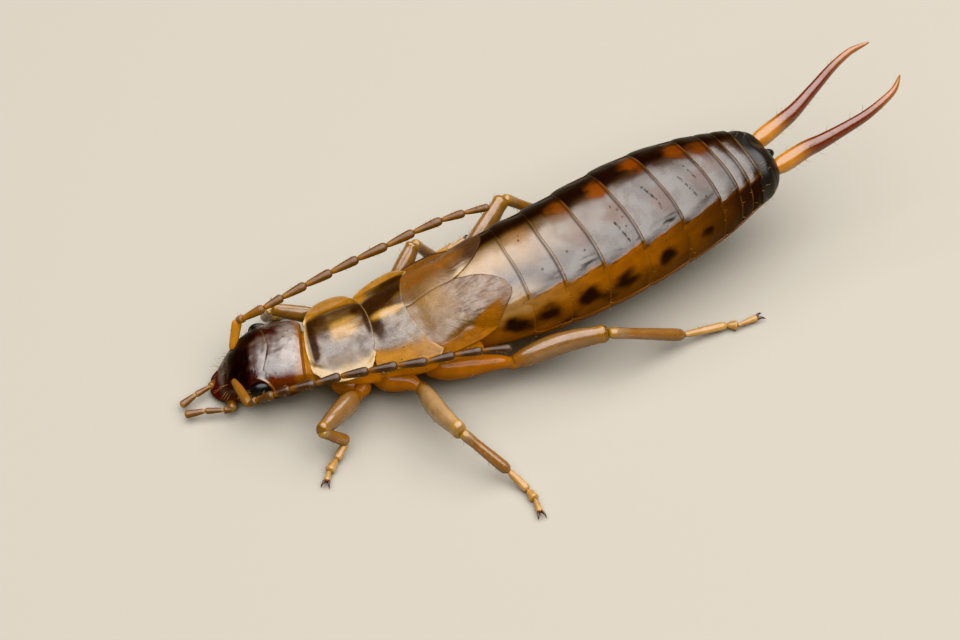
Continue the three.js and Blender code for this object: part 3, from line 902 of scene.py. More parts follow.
@dataclass
class Head(Barrel):
    """Head capsule with its lip, jaws and compound eyes."""

    start: float = 0.2
    end: float = 2.01
    half_width: Table = ((0.2, 0.3), (0.4, 0.46), (0.6, 0.6), (0.9, 0.73), (1.15, 0.79), (1.5, 0.82),
                         (1.8, 0.8), (2.01, 0.7))
    crest: Table = ((0.2, -0.22), (0.4, 0.0), (0.6, 0.17), (0.9, 0.33), (1.15, 0.39), (1.5, 0.43),
                    (1.8, 0.42), (2.01, 0.34))
    underside: Table = ((0.2, -0.42), (0.6, -0.47), (1.15, -0.5), (1.75, -0.45), (2.01, -0.36))
    square: float = 2.5
    eye: Triple = (1.12, 0.78, 0.03)
    eye_radii: Triple = (0.205, 0.115, 0.19)
    eye_tilt: float = -6.0
    socket: Pair = (0.62, 0.42)
    fork: float = 1.33
    nod: float = 0.14
    lip_front: float = 0.1
    lip_length: float = 0.34
    jaw: tuple[Triple, ...] = ((0.7, 0.42, -0.28), (0.42, 0.36, -0.3), (0.2, 0.24, -0.33),
                               (0.08, 0.08, -0.34))
    jaw_radius: Table = ((0, 0.13), (0.4, 0.1), (0.8, 0.06), (1, 0.02))
    face_hairs: int = 22
    side_hairs: int = 18
    face_hair_length: float = 0.16
    side_hair_length: float = 0.07

    def nodding(self, s: float, angle: float, lift: float) -> Pair:
        """Point (y, z) of the capsule with its turned front."""
        y, z = self.surface(s, angle, lift)
        return y - self.nod * smooth(0.75, 0.2, s), z

    def suture(self, s: float, y: float) -> float:
        """Distance to the fork-shaped line on top of the head."""
        arms = ((self.fork, 0.0), (self.fork - 0.05, 0.28), (self.fork - 0.12, 0.52))
        return min(near_line(s, abs(y), arms), 0.02 + near_line(s, y, ((self.end, 0.0), (self.fork, 0.0))))

    def capsule(self) -> None:
        """The capsule with its grooves, cheeks and hind rim."""
        form = Form()
        eye = self.eye

        def place(u: float, v: float) -> Spot:
            """Point, lay and masks at u and v."""
            angle = TURN * (v - 0.5)
            s = self.start + (self.end - self.start) * u
            front = math.sqrt(max(1 - max(1 - u / 0.05, 0.0) ** 2, 0.0))
            back = math.sqrt(max(1 - max((u - 0.97) / 0.03, 0.0) ** 2, 0.0))
            y, z = self.surface(s, angle)
            top = smooth(-0.1, 0.15, z)
            line = self.suture(s, y) if top > 0 else 9.0
            eye_far = math.hypot((s - eye[0]) / 0.23, (z - eye[2]) / 0.2) if abs(y) > 0.5 else 9.0
            socket_far = math.hypot(s - self.socket[0], abs(y) - self.socket[1])
            lift = -0.011 * bump(line, 0, 0.02) * top * smooth(1.9, 1.4, s)
            lift += 0.008 * bump(eye_far, 1.05, 0.1) - 0.03 * smooth(0.95, 0.7, eye_far)
            lift -= 0.05 * bump(socket_far, 0, 0.12) * smooth(-0.4, -0.1, z)
            lift -= 0.008 * bump(s, 0.46, 0.03) * smooth(0.36, 0.26, abs(y)) * smooth(-0.4, -0.2, z)
            furrow = 0.02 * bump(abs(y), 0.26, 0.12) * bump(s, 0.95, 0.16) * top
            lift -= furrow - 0.012 * bump(s, 1.12, 0.1) * top
            lift += 0.006 * rough(s, y, z, 7.0) + 0.003 * rough(s, y, z, 22.0)
            y, z = self.surface(s, angle, lift)
            shrink = max(front * back, 0.0)
            middle = (along(self.crest, s) + along(self.underside, s)) / 2
            y, z = y * shrink, middle + (z - middle) * shrink
            # Crown mask, partly painted sheen.
            patch = self.patch(s, y, z) * top
            cheek = smooth(0.58, 0.76, abs(y) + 0.05 * rough(s, y, z, 5)) * smooth(1.2, 1.4, s)
            cheek = max(cheek, smooth(0.0, -0.2, z) * smooth(0.75, 0.95, s))
            hind = s + 0.02 * rough(y * 3, s, z, 2.0) + 0.07 * smooth(0.35, 0.7, abs(y))
            band = smooth(1.83, 1.95, hind) * 0.95
            rim = bump(eye_far, 1.12, 0.06) * smooth(0.4, 0.6, abs(y))
            rim = max(rim * smooth(eye[0] - 0.05, eye[0] + 0.12, s), 0.3 * bump(line, 0, 0.01) * top)
            red = smooth(0.42, 0.26, s - 0.1 * y + 0.06 * rough(s, y, z, 8)) * 0.7
            y -= self.nod * smooth(0.75, 0.2, s)
            # Dark face, deepened as painted shade.
            dark = self.dark(s, y) * top
            return SPINE.at(s, y, z), (s, angle * 0.75, z), (patch, cheek, band), (dark, rim, red)

        form.sheet(110, 220, place)
        form.finish("head_capsule", CUTICLE_HEAD, "cuticle_head", "head")

    @staticmethod
    def patch(s: float, y: float, z: float) -> float:
        """Mask of the paler grey-lilac crown, which is partly painted sheen.

        Args:
            s: Place along the body.
            y: Place to the right.
            z: Height.

        Returns:
            The mask.
        """
        side = smooth(0.68, 0.42, abs(y) + 0.1 * rough(s, y, z, 6.0))
        front = 0.5 * smooth(0.86, 1.05, s + 0.12 * rough(y, s, z, 4.0)) * smooth(0.45, 0.3, abs(y + 0.06))
        hollow = 0.6 * smooth(-0.2, 0.45, rough(s, y, 3, 8.0)) * smooth(1.75, 1.4, s)
        return side * max(front, smooth(1.42, 1.62, s)) * (1 - hollow)

    @staticmethod
    def dark(s: float, y: float) -> float:
        """Mask of the dark face between the feelers, deepened as painted shade that reaches further back on
        the right.
        """
        where = s - 0.16 * smooth(0.1, 0.5, y) + 0.1 * rough(s, y, 0, 5.0)
        return smooth(1.04, 0.86, where) * smooth(0.2, 0.35, s) * 0.95

    @staticmethod
    def jaw_masks(share: float) -> Masks:
        """Masks along a jaw, which darkens to its tip."""
        return (0.0, 0.4, 0.0), (smooth(0.85, 1.0, share), 0.0, 0.9 * smooth(0.2, 0.6, share))

    def lip(self) -> None:
        """Labrum and the tips of the jaws below it."""
        form = Form()

        def place(u: float, v: float) -> Spot:
            """Point, lay and masks at u and v."""
            s = self.lip_front + self.lip_length * u
            width = 0.25 * math.sqrt(max(1 - (1 - min(u / 0.5, 1.0)) ** 2, 0.0))
            width *= math.sqrt(max(1 - max((u - 0.9) / 0.1, 0) ** 2, 0))
            y, z = egg(TURN * v, width, width * 0.26, -width * 0.25, 2.4)
            drop = -0.35 + 0.2 * u
            edge = smooth(0.08, 0.0, u)
            spot = SPINE.at(s, y - self.nod - 0.05, z + drop - 0.02 * (y / 0.27) ** 2)
            return spot, (s, y, z), NONE, (0.0, edge * 0.6, 1.0)

        form.sheet(36, 48, place)
        for side in Side:
            line = curve([SPINE.at(s, side.value * y - self.nod, z) for s, y, z in self.jaw], 14)
            form.tube(line, taper(self.jaw_radius, 14), 20, trait=self.jaw_masks)
        form.finish("head_lip_and_jaws", CUTICLE_HEAD, "cuticle_head", "head")

    def eye_piece(self, side: Side) -> None:
        """One compound eye.

        Args:
            side: Which eye.
        """
        form = Form()
        s, y, z = self.eye
        centre = (s, side.value * (y - 0.01), z)
        tilt = Matrix.Rotation(side.value * math.radians(self.eye_tilt), 3, "Z")

        def place(u: float, v: float) -> Spot:
            """Point, lay and masks at u and v."""
            up, turn = math.pi * (u - 0.5), TURN * v
            ball = Vector((math.cos(up) * math.cos(turn), math.sin(up), math.cos(up) * math.sin(turn)))
            out = tilt @ Vector([part * radius for part, radius in zip(ball, self.eye_radii)])
            spot = SPINE.at(centre[0] + out.x, centre[1] + out.y, centre[2] + out.z)
            return spot, tuple(ball * 0.2), NONE, NONE

        form.sheet(48, 64, place)
        form.finish(f"eye_{side.word}_facets", EYE, "eye", f"eye_{side.word}")

    def build(self) -> None:
        """Makes the pieces of the head."""
        self.capsule()
        self.lip()
        for side in Side:
            self.eye_piece(side)
        hairs = Bristles(5)
        for _ in range(self.face_hairs):
            s, degrees = hairs.draw.uniform(0.24, 0.5), hairs.draw.uniform(-110, 110)
            hairs.on_body(self.nodding, s, degrees, self.face_hair_length, -1.0)
        for _ in range(self.side_hairs):
            s = hairs.draw.uniform(0.6, 1.9)
            degrees = hairs.draw.choice((-1, 1)) * hairs.draw.uniform(62, 95)
            hairs.on_body(self.nodding, s, degrees, self.side_hair_length, 1.0)
        hairs.finish("head_bristles", "cuticle_head")


@dataclass
class Limb:
    """Sizes shared by feelers and palps, whose segments are beads on a line."""

    root: Vector
    points: tuple[Triple, ...]
    radii: tuple[float, ...]
    sides: int = 18
    shares: tuple[float, ...] = (0.0, 0.03, 0.08, 0.16, 0.26, 0.38, 0.5, 0.62, 0.72, 0.8, 0.87, 0.92, 0.96,
                                 0.985, 1.0)

    def beads(self, form: Form, trait: Callable[[int, float], Masks], waist: float) -> None:
        """Adds one bead for each stretch of the line.

        Args:
            form: The form to add to.
            trait: Gives both masks by the bead's number and the share along it.
            waist: Thickness of a bead's root as a share of its widest place.
        """
        places = [self.root, *(SPINE.pose(point) for point in self.points)]
        origin = 0.0
        for number, (start, end, radius) in enumerate(zip(places, places[1:], self.radii)):
            way = end - start
            slim = waist if number else 0.85
            profile = ((0.0, slim * 0.75), (0.1, slim), (0.4, (slim + 1.3) / 2.3), (0.7, 1.0), (0.88, 1.02),
                       (0.96, 0.8), (1.0, 0.45))
            line = [start + way * (0.005 + 0.99 * share) for share in self.shares]
            form.tube(line, [radius * along(profile, share) for share in self.shares], self.sides,
                      trait=lambda share, number=number: trait(number, share), origin=origin)
            origin += way.length


@dataclass
class Feelers:
    """The two antennae of twelve segments each."""

    socket: Triple = (0.6, 0.4, 0.02)
    left: tuple = ((-4.8, 0.12, 0.71), (-4.69, 0.01, 0.91), (-4.42, -0.2, 1.15), (-4.11, -0.29, 1.26),
                   (-3.66, -0.46, 1.38), (-3.18, -0.56, 1.46), (-2.67, -0.73, 1.55), (-2.15, -0.92, 1.65),
                   (-1.61, -1.11, 1.7), (-1.09, -1.22, 1.75), (-0.58, -1.36, 1.78), (-0.06, -1.55, 1.8))
    right: tuple = ((-4.23, 1.97, 1.02), (-4.19, 1.79, 1.2), (-3.77, 1.71, 1.4), (-3.36, 1.76, 1.46),
                    (-2.84, 1.83, 1.5), (-2.28, 1.86, 1.58), (-1.72, 1.86, 1.7), (-1.12, 1.84, 1.82),
                    (-0.53, 1.87, 1.9), (0.07, 1.89, 1.95), (0.54, 1.86, 1.97), (1.04, 1.8, 1.97))
    radii: tuple = (0.095, 0.08, 0.088, 0.085, 0.088, 0.09, 0.09, 0.09, 0.088, 0.085, 0.08, 0.072)
    waist: float = 0.66
    bead_hairs: int = 8
    hair_length: float = 0.06

    @staticmethod
    def trait(number: int, share: float, side: Side) -> Masks:
        """Masks of one segment: amber root, warmer middle and pale joint, with painted light from behind on
        the right feeler; greyish end as a painted highlight.

        Args:
            number: The segment's number.
            share: Share along it.
            side: Which feeler.

        Returns:
            Both masks.
        """
        far = side is Side.RIGHT
        root = smooth(0.36, 0.04, share) * (0.75 if number else 0.0)
        # The right feeler gets more of the amber colour: painted light from behind.
        warm_and_backlight_by_segment = (1.0, 0.45, 0.35, 0.2) if far else (0.4, 0.2, 0.1, 0.0)
        warm_and_backlight = warm_and_backlight_by_segment[number] if number < len(warm_and_backlight_by_segment) else 0.0
        joint = max(smooth(0.04, 0.0, share), smooth(0.97, 1.0, share)) * 0.6
        # Painted highlight: greyish at the end of each bead.
        end = smooth(0.7, 0.88, share) * smooth(1.0, 0.93, share) if number else 0.0
        return (root, max(warm_and_backlight, 0.18 if far else 0.0), joint), (0.3 * end, 0.0, 0.0)

    def build(self) -> None:
        """Makes both feelers and their fine hairs."""
        hairs = Bristles(11)
        s, y, z = self.socket
        for side, points in zip(Side, (self.left, self.right)):
            form = Form()
            limb = Limb(SPINE.at(s, side.value * y, z), points, self.radii)
            limb.beads(form, lambda number, share, side=side: self.trait(number, share, side), self.waist)
            form.finish(f"antenna_{side.word}_beads", FEELER, "antenna", f"antenna_{side.word}")
            stops = [limb.root, *(SPINE.pose(point) for point in points)]
            for number, (start, end, radius) in enumerate(zip(stops, stops[1:], self.radii)):
                line = [start.lerp(end, share) for share in (0.3, 0.45, 0.6, 0.75, 0.9)]
                hairs.round_line(line, [radius] * len(line), self.bead_hairs, self.hair_length,
                                 0.02 + 0.08 * number)
        hairs.finish("antenna_bristles", "antenna")


@dataclass
class Palps:
    """The feeler-like mouth palps."""

    root: Triple = (0.45, 0.3, -0.4)
    left: tuple = ((-4.96, 0.58, 0.18), (-5.12, 0.64, 0.18), (-5.46, 0.78, 0.17), (-5.84, 0.87, 0.15))
    right: tuple = ((-4.9, 1.45, 0.12), (-5.12, 1.3, 0.18), (-5.46, 1.22, 0.18), (-5.81, 1.11, 0.15))
    radii: tuple = (0.09, 0.07, 0.06, 0.075)
    waist: float = 0.7

    @staticmethod
    def trait(_number: int, share: float) -> Masks:
        """Masks of one segment: pale ends and a brown middle."""
        pale = max(smooth(0.2, 0.0, share), smooth(0.85, 1.0, share))
        return (pale, 0.3 * bump(share, 0.55, 0.2), 0.0), NONE

    def build(self) -> None:
        """Makes both palps."""
        s, y, z = self.root
        for side, points in zip(Side, (self.left, self.right)):
            form = Form()
            Limb(SPINE.at(s, side.value * y, z), points, self.radii).beads(form, self.trait, self.waist)
            form.finish(f"palp_{side.word}_beads", PALP, "palp", f"palp_{side.word}")


@dataclass
class Thorax:
    """Neck, the three back plates with the wing pads, and the chest under them."""

    half_width: Table = ((2.1, 0.82), (3.3, 0.93), (4.4, 1.08), (5.2, 1.14), (6, 1.16))
    crest: Table = ((2.1, 0.36), (3.3, 0.46), (4.4, 0.62), (5.2, 0.83), (6, 0.97))
    edge: Table = ((2.1, 0.12), (3.3, 0.16), (4.4, 0.22), (5.2, 0.22), (6, 0.22))
    chest_width: Table = ((2.1, 0.52), (2.4, 0.68), (2.8, 0.84), (3.3, 0.92), (4.4, 1.02), (5.5, 1.08))
    chest_under: Table = ((2.1, -0.3), (2.4, -0.42), (3.3, -0.52), (4.4, -0.64), (5.5, -0.74))
    neck_start: float = 1.7
    neck_length: float = 0.7
    pronotum: Pair = (2.05, 3.36)
    mesonotum: Pair = (3.22, 4.08)
    chest_start: float = 2.12
    chest_length: float = 3.3
    seams: Triple = (3.3, 4.35, 5.25)
    front_width: Table = ((2.05, 0.78), (2.2, 0.92), (2.45, 1.05), (2.8, 1.09), (3.1, 1.06), (3.36, 0.95))
    middle_width: Table = ((3.2, 0.96), (3.42, 1.07), (3.94, 1.2), (4.27, 1.2), (4.45, 1.12))
    plate: float = 0.035
    pad_inner: Table = ((4.0, 0.0), (4.6, 0.0), (5.04, 0.0), (5.2, 0.05), (5.5, 0.18), (5.74, 0.37),
                        (5.9, 0.56), (5.96, 0.74))
    pad_outer: Table = ((4.0, 1.15), (4.6, 1.21), (5.1, 1.2), (5.4, 1.12), (5.64, 1.01), (5.82, 0.9),
                        (5.92, 0.82), (5.96, 0.74))
    pad_columns: int = 90
    front_dark_and_shade: tuple = ((2.16, 0.1, 0.15, 0.42), (2.36, 0.5, 0.22, 0.24), (2.2, -0.3, 0.1, 0.18),
                         (3.2, 0.52, 0.24, 0.28), (3.3, 0.05, 0.08, 0.4))
    front_haze: tuple = ((2.85, 0.66, 0.5, 0.2), (3.14, -0.44, 0.2, 0.22), (2.6, -0.4, 0.3, 0.14),
                         (2.45, 0.1, 0.16, 0.4))
    front_gold: tuple = ((2.82, 0.06, 0.34, 0.28),)
    middle_dark_and_shade: tuple = ((3.66, 0.4, 0.26, 0.24), (3.96, 0.7, 0.4, 0.32), (4.24, 0.96, 0.3, 0.24),
                          (3.46, -0.22, 0.14, 0.3), (3.4, 0.25, 0.14, 0.3))
    middle_haze: tuple = ((3.62, -0.46, 0.3, 0.28), (4.0, 0.2, 0.3, 0.1))
    middle_gold: tuple = ((3.72, 0.03, 0.36, 0.13),)

    def roof(self, s: float, y: float) -> float:
        """Height of the back plates.

        Args:
            s: Place along the body.
            y: Place to the right.

        Returns:
            The height.
        """
        share = min(abs(y) / along(self.half_width, s), 1.03)
        edge = along(self.edge, s)
        return edge + (along(self.crest, s) - edge) * (1 - share**2.2)

    def neck(self) -> None:
        """Soft neck with its folds."""
        form = Form()

        def place(u: float, v: float) -> Spot:
            """Point, lay and masks at u and v."""
            angle, s = TURN * v, self.neck_start + self.neck_length * u
            close = closing(u, 8)
            fold = 0.025 * math.sin(u * 26) + 0.02 * rough(angle * 2, u, 0, 2.0)
            y, z = egg(angle, (0.6 + fold) * close, (0.24 + fold) * close, (-0.34 - fold) * close, 2.2)
            return SPINE.at(s, y, z), (s, angle * 0.5, 0.0), NONE, NONE

        form.sheet(40, 64, place)
        form.finish("neck_membrane", MEMBRANE, "membrane", "neck")

    def front_plate(self) -> None:
        """Pronotum, a rounded rectangle with translucent flanges."""
        form = Form()
        front, back = self.pronotum

        def place(u: float, v: float) -> Spot:
            """Point, lay and masks at u and v."""
            share = 2 * v - 1
            s = front + (back - front) * u
            wide = along(self.front_width, s) * (1.0 if share > 0 else 0.94)
            corner = 1 - 0.08 * abs(2 * u - 1) ** 9
            y = share * wide * corner
            s += (-0.15 * share**2) * smooth(0.4, 1.0, u) + 0.05 * (share**2) * smooth(0.4, 0.0, u)
            z = self.roof(s, y)
            rim = max(smooth(0.955, 1.0, abs(share)), smooth(0.03, 0.0, u), smooth(0.975, 1.0, u))
            z += 0.03 * smooth(0.76, 0.95, abs(share)) - 0.035 * bump(abs(share), 0.74, 0.09)
            z -= 0.001 * bump(y, 0, 0.01) + 0.025 * bump(abs(y), 0.4, 0.12) * bump(u, 0.45, 0.25)
            rise = 0.006 * rim + 0.008 * rough(s, y, 0, 5) - 0.03 * smooth(0.06, 0.0, u)
            z += rise - 0.02 * smooth(0.97, 1.0, u)
            # Dark markings, heavier on the right as painted shade.
            dark = self.patches(s, y, self.front_dark_and_shade) * (1 - smooth(0.09, 0.03, u))
            haze = self.patches(s, y, self.front_haze)
            gold = self.patches(s, y, self.front_gold)
            flange = smooth(0.62, 0.8, abs(share) + 0.05 * rough(s, y, 1, 8)) * (0.25 if y < 0 else 0.85)
            cream = 0.7 * max(smooth(0.62, 0.82, -share + 0.05 * rough(s, y, 1, 8)), smooth(0.08, 0.02, u))
            masks = (dark * 0.92, gold * 0.8, flange), (max(rim * 0.3, cream), 0.0, haze * 0.75)
            return SPINE.at(s, y, z), (s, y, z), *masks

        form.shell(84, 110, place, self.plate)
        form.finish("pronotum_plate", CUTICLE_THORAX, "cuticle_thorax", "prothorax")

    def middle_plate(self) -> None:
        """Mesonotum with its hollow hind margin."""
        form = Form()
        front, back = self.mesonotum

        def place(u: float, v: float) -> Spot:
            """Point, lay and masks at u and v."""
            share = 2 * v - 1
            end = back + 0.36 * share**2
            s = front + (end - front) * u
            y = share * along(self.middle_width, s) * (1 - 0.06 * (2 * u - 1) ** 8 * smooth(0.5, 1.0, u))
            z = self.roof(s, y) - 0.035 * smooth(0.35, 0.0, u)
            rim = max(smooth(0.96, 1.0, abs(share)), smooth(0.975, 1.0, u))
            z += 0.03 * smooth(0.78, 1.0, abs(share)) - 0.03 * bump(abs(share), 0.7, 0.08)
            drop = 0.002 * bump(y, 0, 0.01) - 0.004 * rim - 0.008 * rough(s, y, 3, 5)
            z -= drop + 0.02 * smooth(0.97, 1.0, u)
            # Dark markings, heavier on the right as painted shade.
            dark = self.patches(s, y, self.middle_dark_and_shade)
            haze = self.patches(s, y, self.middle_haze)
            gold = self.patches(s, y, self.middle_gold)
            flange = smooth(0.54, 0.7, abs(share) + 0.03 * rough(s, y, 2, 8))
            if y > 0:
                flange *= max(smooth(0.84, 0.92, abs(share)), smooth(3.55, 3.35, s))
            flange *= 1 - 0.25 * smooth(3.7, 4.3, s)
            masks = (dark * 0.92, gold * 0.9, flange), (rim * 0.35, 0.0, haze * 0.7)
            return SPINE.at(s, y, z), (s, y, z), *masks

        form.shell(70, 110, place, self.plate)
        form.finish("mesonotum_plate", CUTICLE_THORAX, "cuticle_thorax", "mesothorax")

    @staticmethod
    def patches(s: float, y: float, spots: Sequence[tuple[float, float, float, float]]) -> float:
        """Mask of cloudy patches, each given by its centre and its reach along s and y.

        Args:
            s: Place along the body.
            y: Place to the right.
            spots: The patches.

        Returns:
            The mask.
        """
        total = sum(math.exp(-(((s - at) / long) ** 2) - ((y - to) / broad) ** 2)
                    for at, to, long, broad in spots)
        return smooth(0.15, 0.85, total * (1 + 0.45 * rough(s, y, 2, 5) + 0.2 * rough(s, y, 5, 15)))

    def wing_pads(self, abdomen: "Abdomen") -> None:
        """Metanotum with its two leaf-shaped wing pads.

        Args:
            abdomen: The abdomen that the pads lie on.
        """
        form = Form()
        columns = self.pad_columns
        inner = curve([Vector((*point, 0)) for point in self.pad_inner], columns + 1)
        outer = curve([Vector((*point, 0)) for point in self.pad_outer], columns + 1)
        for side in Side:
            def place(u: float, v: float, side: Side = side) -> Spot:
                """Point, lay and masks at u and v."""
                k = round(u * columns)
                spot = inner[k].lerp(outer[k], v)
                s, y = spot.x, side.value * spot.y
                z = self.roof(s, y) - 0.04 * smooth(4.5, 4.1, s)
                free = smooth(5.0, 5.3, s)
                over = max(abdomen.height(s, y) + 0.04 - z, 0.0) * smooth(4.2, 5.1, s)
                z += over + 0.02 * math.sin(math.pi * v) * free
                z -= 0.012 * bump(abs(y), 0, 0.02) * smooth(5.2, 4.9, s)
                z += 0.004 * rough(s * 0.4, y * 2.4, 5, 9) * free * smooth(0, 0.1, v) * smooth(1, 0.9, v)
                rim = max(smooth(0.035, 0.0, v) * free, smooth(0.96, 1.0, v) * free, smooth(0.98, 1.0, u))
                bubble = math.hypot((s - 4.98) / 0.22, (spot.y - 1.03) / 0.13)
                z += 0.03 * smooth(1.0, 0.5, bubble)
                masks = self.pad_masks(side, s, y, v, rim, bubble)
                return SPINE.at(s, y, z), (s, y + 5, z), *masks

            form.shell(columns, 64, place, self.plate)
        form.finish("metanotum_and_wing_pads", WING_PAD, "cuticle_thorax", "metathorax")

    @staticmethod
    def pad_masks(side: Side, s: float, y: float, v: float, rim: float, bubble: float) -> Masks:
        """Masks of one pad.

        Args:
            side: Which pad.
            s: Place along the body.
            y: Place to the right.
            v: Share from the pad's inner to its outer edge.
            rim: Mask of the rim.
            bubble: Distance from the swelling at the shoulder, whose edge is at 1.

        Returns:
            Both masks: dark, gold; cream, amber, violet.
        """
        fan = math.atan2(abs(y) - 0.5, s - 4.3)
        reach = math.hypot(abs(y) - 0.5, s - 4.3)
        vein = smooth(0.0, 0.4, rough(fan * 2.4, reach * 0.3, 4, 12))
        dark = 0.55 * (vein * smooth(0.3, 0.8, reach) * smooth(1.9, 1.2, reach))
        gold = 0.75 * math.exp(-(((s - 4.6) / 0.32) ** 2) - ((y + 0.15) / 0.42) ** 2)
        cloud = rough(s, y, 1, 5)
        if side is Side.LEFT:
            amber = smooth(0.74, 0.86, v + 0.05 * cloud + 0.12 * smooth(4.9, 5.4, s)) * smooth(5.85, 5.6, s)
            violet = 0.4 * smooth(4.3, 5.2, s) * smooth(0.7, 0.5, v) + 0.35 * smooth(5.35, 5.8, s)
            edge = 0.6 * smooth(0.9, 0.97, v) * smooth(5.0, 5.3, s)
            dark = max(dark, 0.55 * bump(bubble, 1.0, 0.14), 0.9 * rim, edge)
            return (dark, gold, 0.0), (0.0, amber, violet)
        edge = smooth(0.94, 0.98, v)
        band = bump(v, 0.74 + 0.06 * rough(s, 0, 2, 3), 0.14) * smooth(4.6, 5.1, s)
        tip = smooth(5.3, 5.65, s + 0.25 * v + 0.1 * rough(s, y, 4, 4))
        dark = max(dark, 0.85 * band, 0.95 * tip, 0.9 * edge, 0.7 * rim)
        amber = smooth(0.2, 0.42, v + 0.1 * cloud) * smooth(4.15, 4.4, s + 0.3 * v)
        amber *= 1 - 0.9 * max(band, tip, edge)
        return (dark, gold, 0.0), (0.8 * bump(v, 0.0, 0.07) * bump(s, 5.24, 0.16), amber, 0.3)

    def chest(self) -> None:
        """Chest under the plates, with the breast plates and the seams between them."""
        form = Form()

        def place(u: float, v: float) -> Spot:
            """Point, lay and masks at u and v."""
            angle, s = TURN * (v - 0.5), self.chest_start + self.chest_length * u
            close = closing(u, 14)
            wide = along(self.chest_width, s) * close
            top = (self.roof(s, wide) - 0.1) * close
            under = along(self.chest_under, s) * close
            seam = min(abs(s - where) for where in self.seams)
            lift = -0.035 * bump(seam, 0, 0.05) + 0.01 * rough(s, angle, 0, 4)
            y, z = egg(angle, wide + lift, top, under - lift, 2.6)
            # Amber sides, painted brighter as light through them in the plates' shade; the seams keep the
            # darker ground.
            plate = 0.6 + 0.4 * smooth(0.03, 0.09, seam)
            return SPINE.at(s, y, z), (s, angle * 0.6, z), NONE, (0.0, plate, 0.0)

        form.sheet(110, 90, place)
        form.finish("chest_and_breast_plates", CUTICLE_THORAX, "cuticle_thorax", "prothorax", "mesothorax",
                    "metathorax")

    def build(self, abdomen: "Abdomen") -> None:
        """Makes the pieces of the thorax, with the wing pads lying on the abdomen.

        Args:
            abdomen: The abdomen.
        """
        self.neck()
        self.front_plate()
        self.middle_plate()
        self.wing_pads(abdomen)
        self.chest()


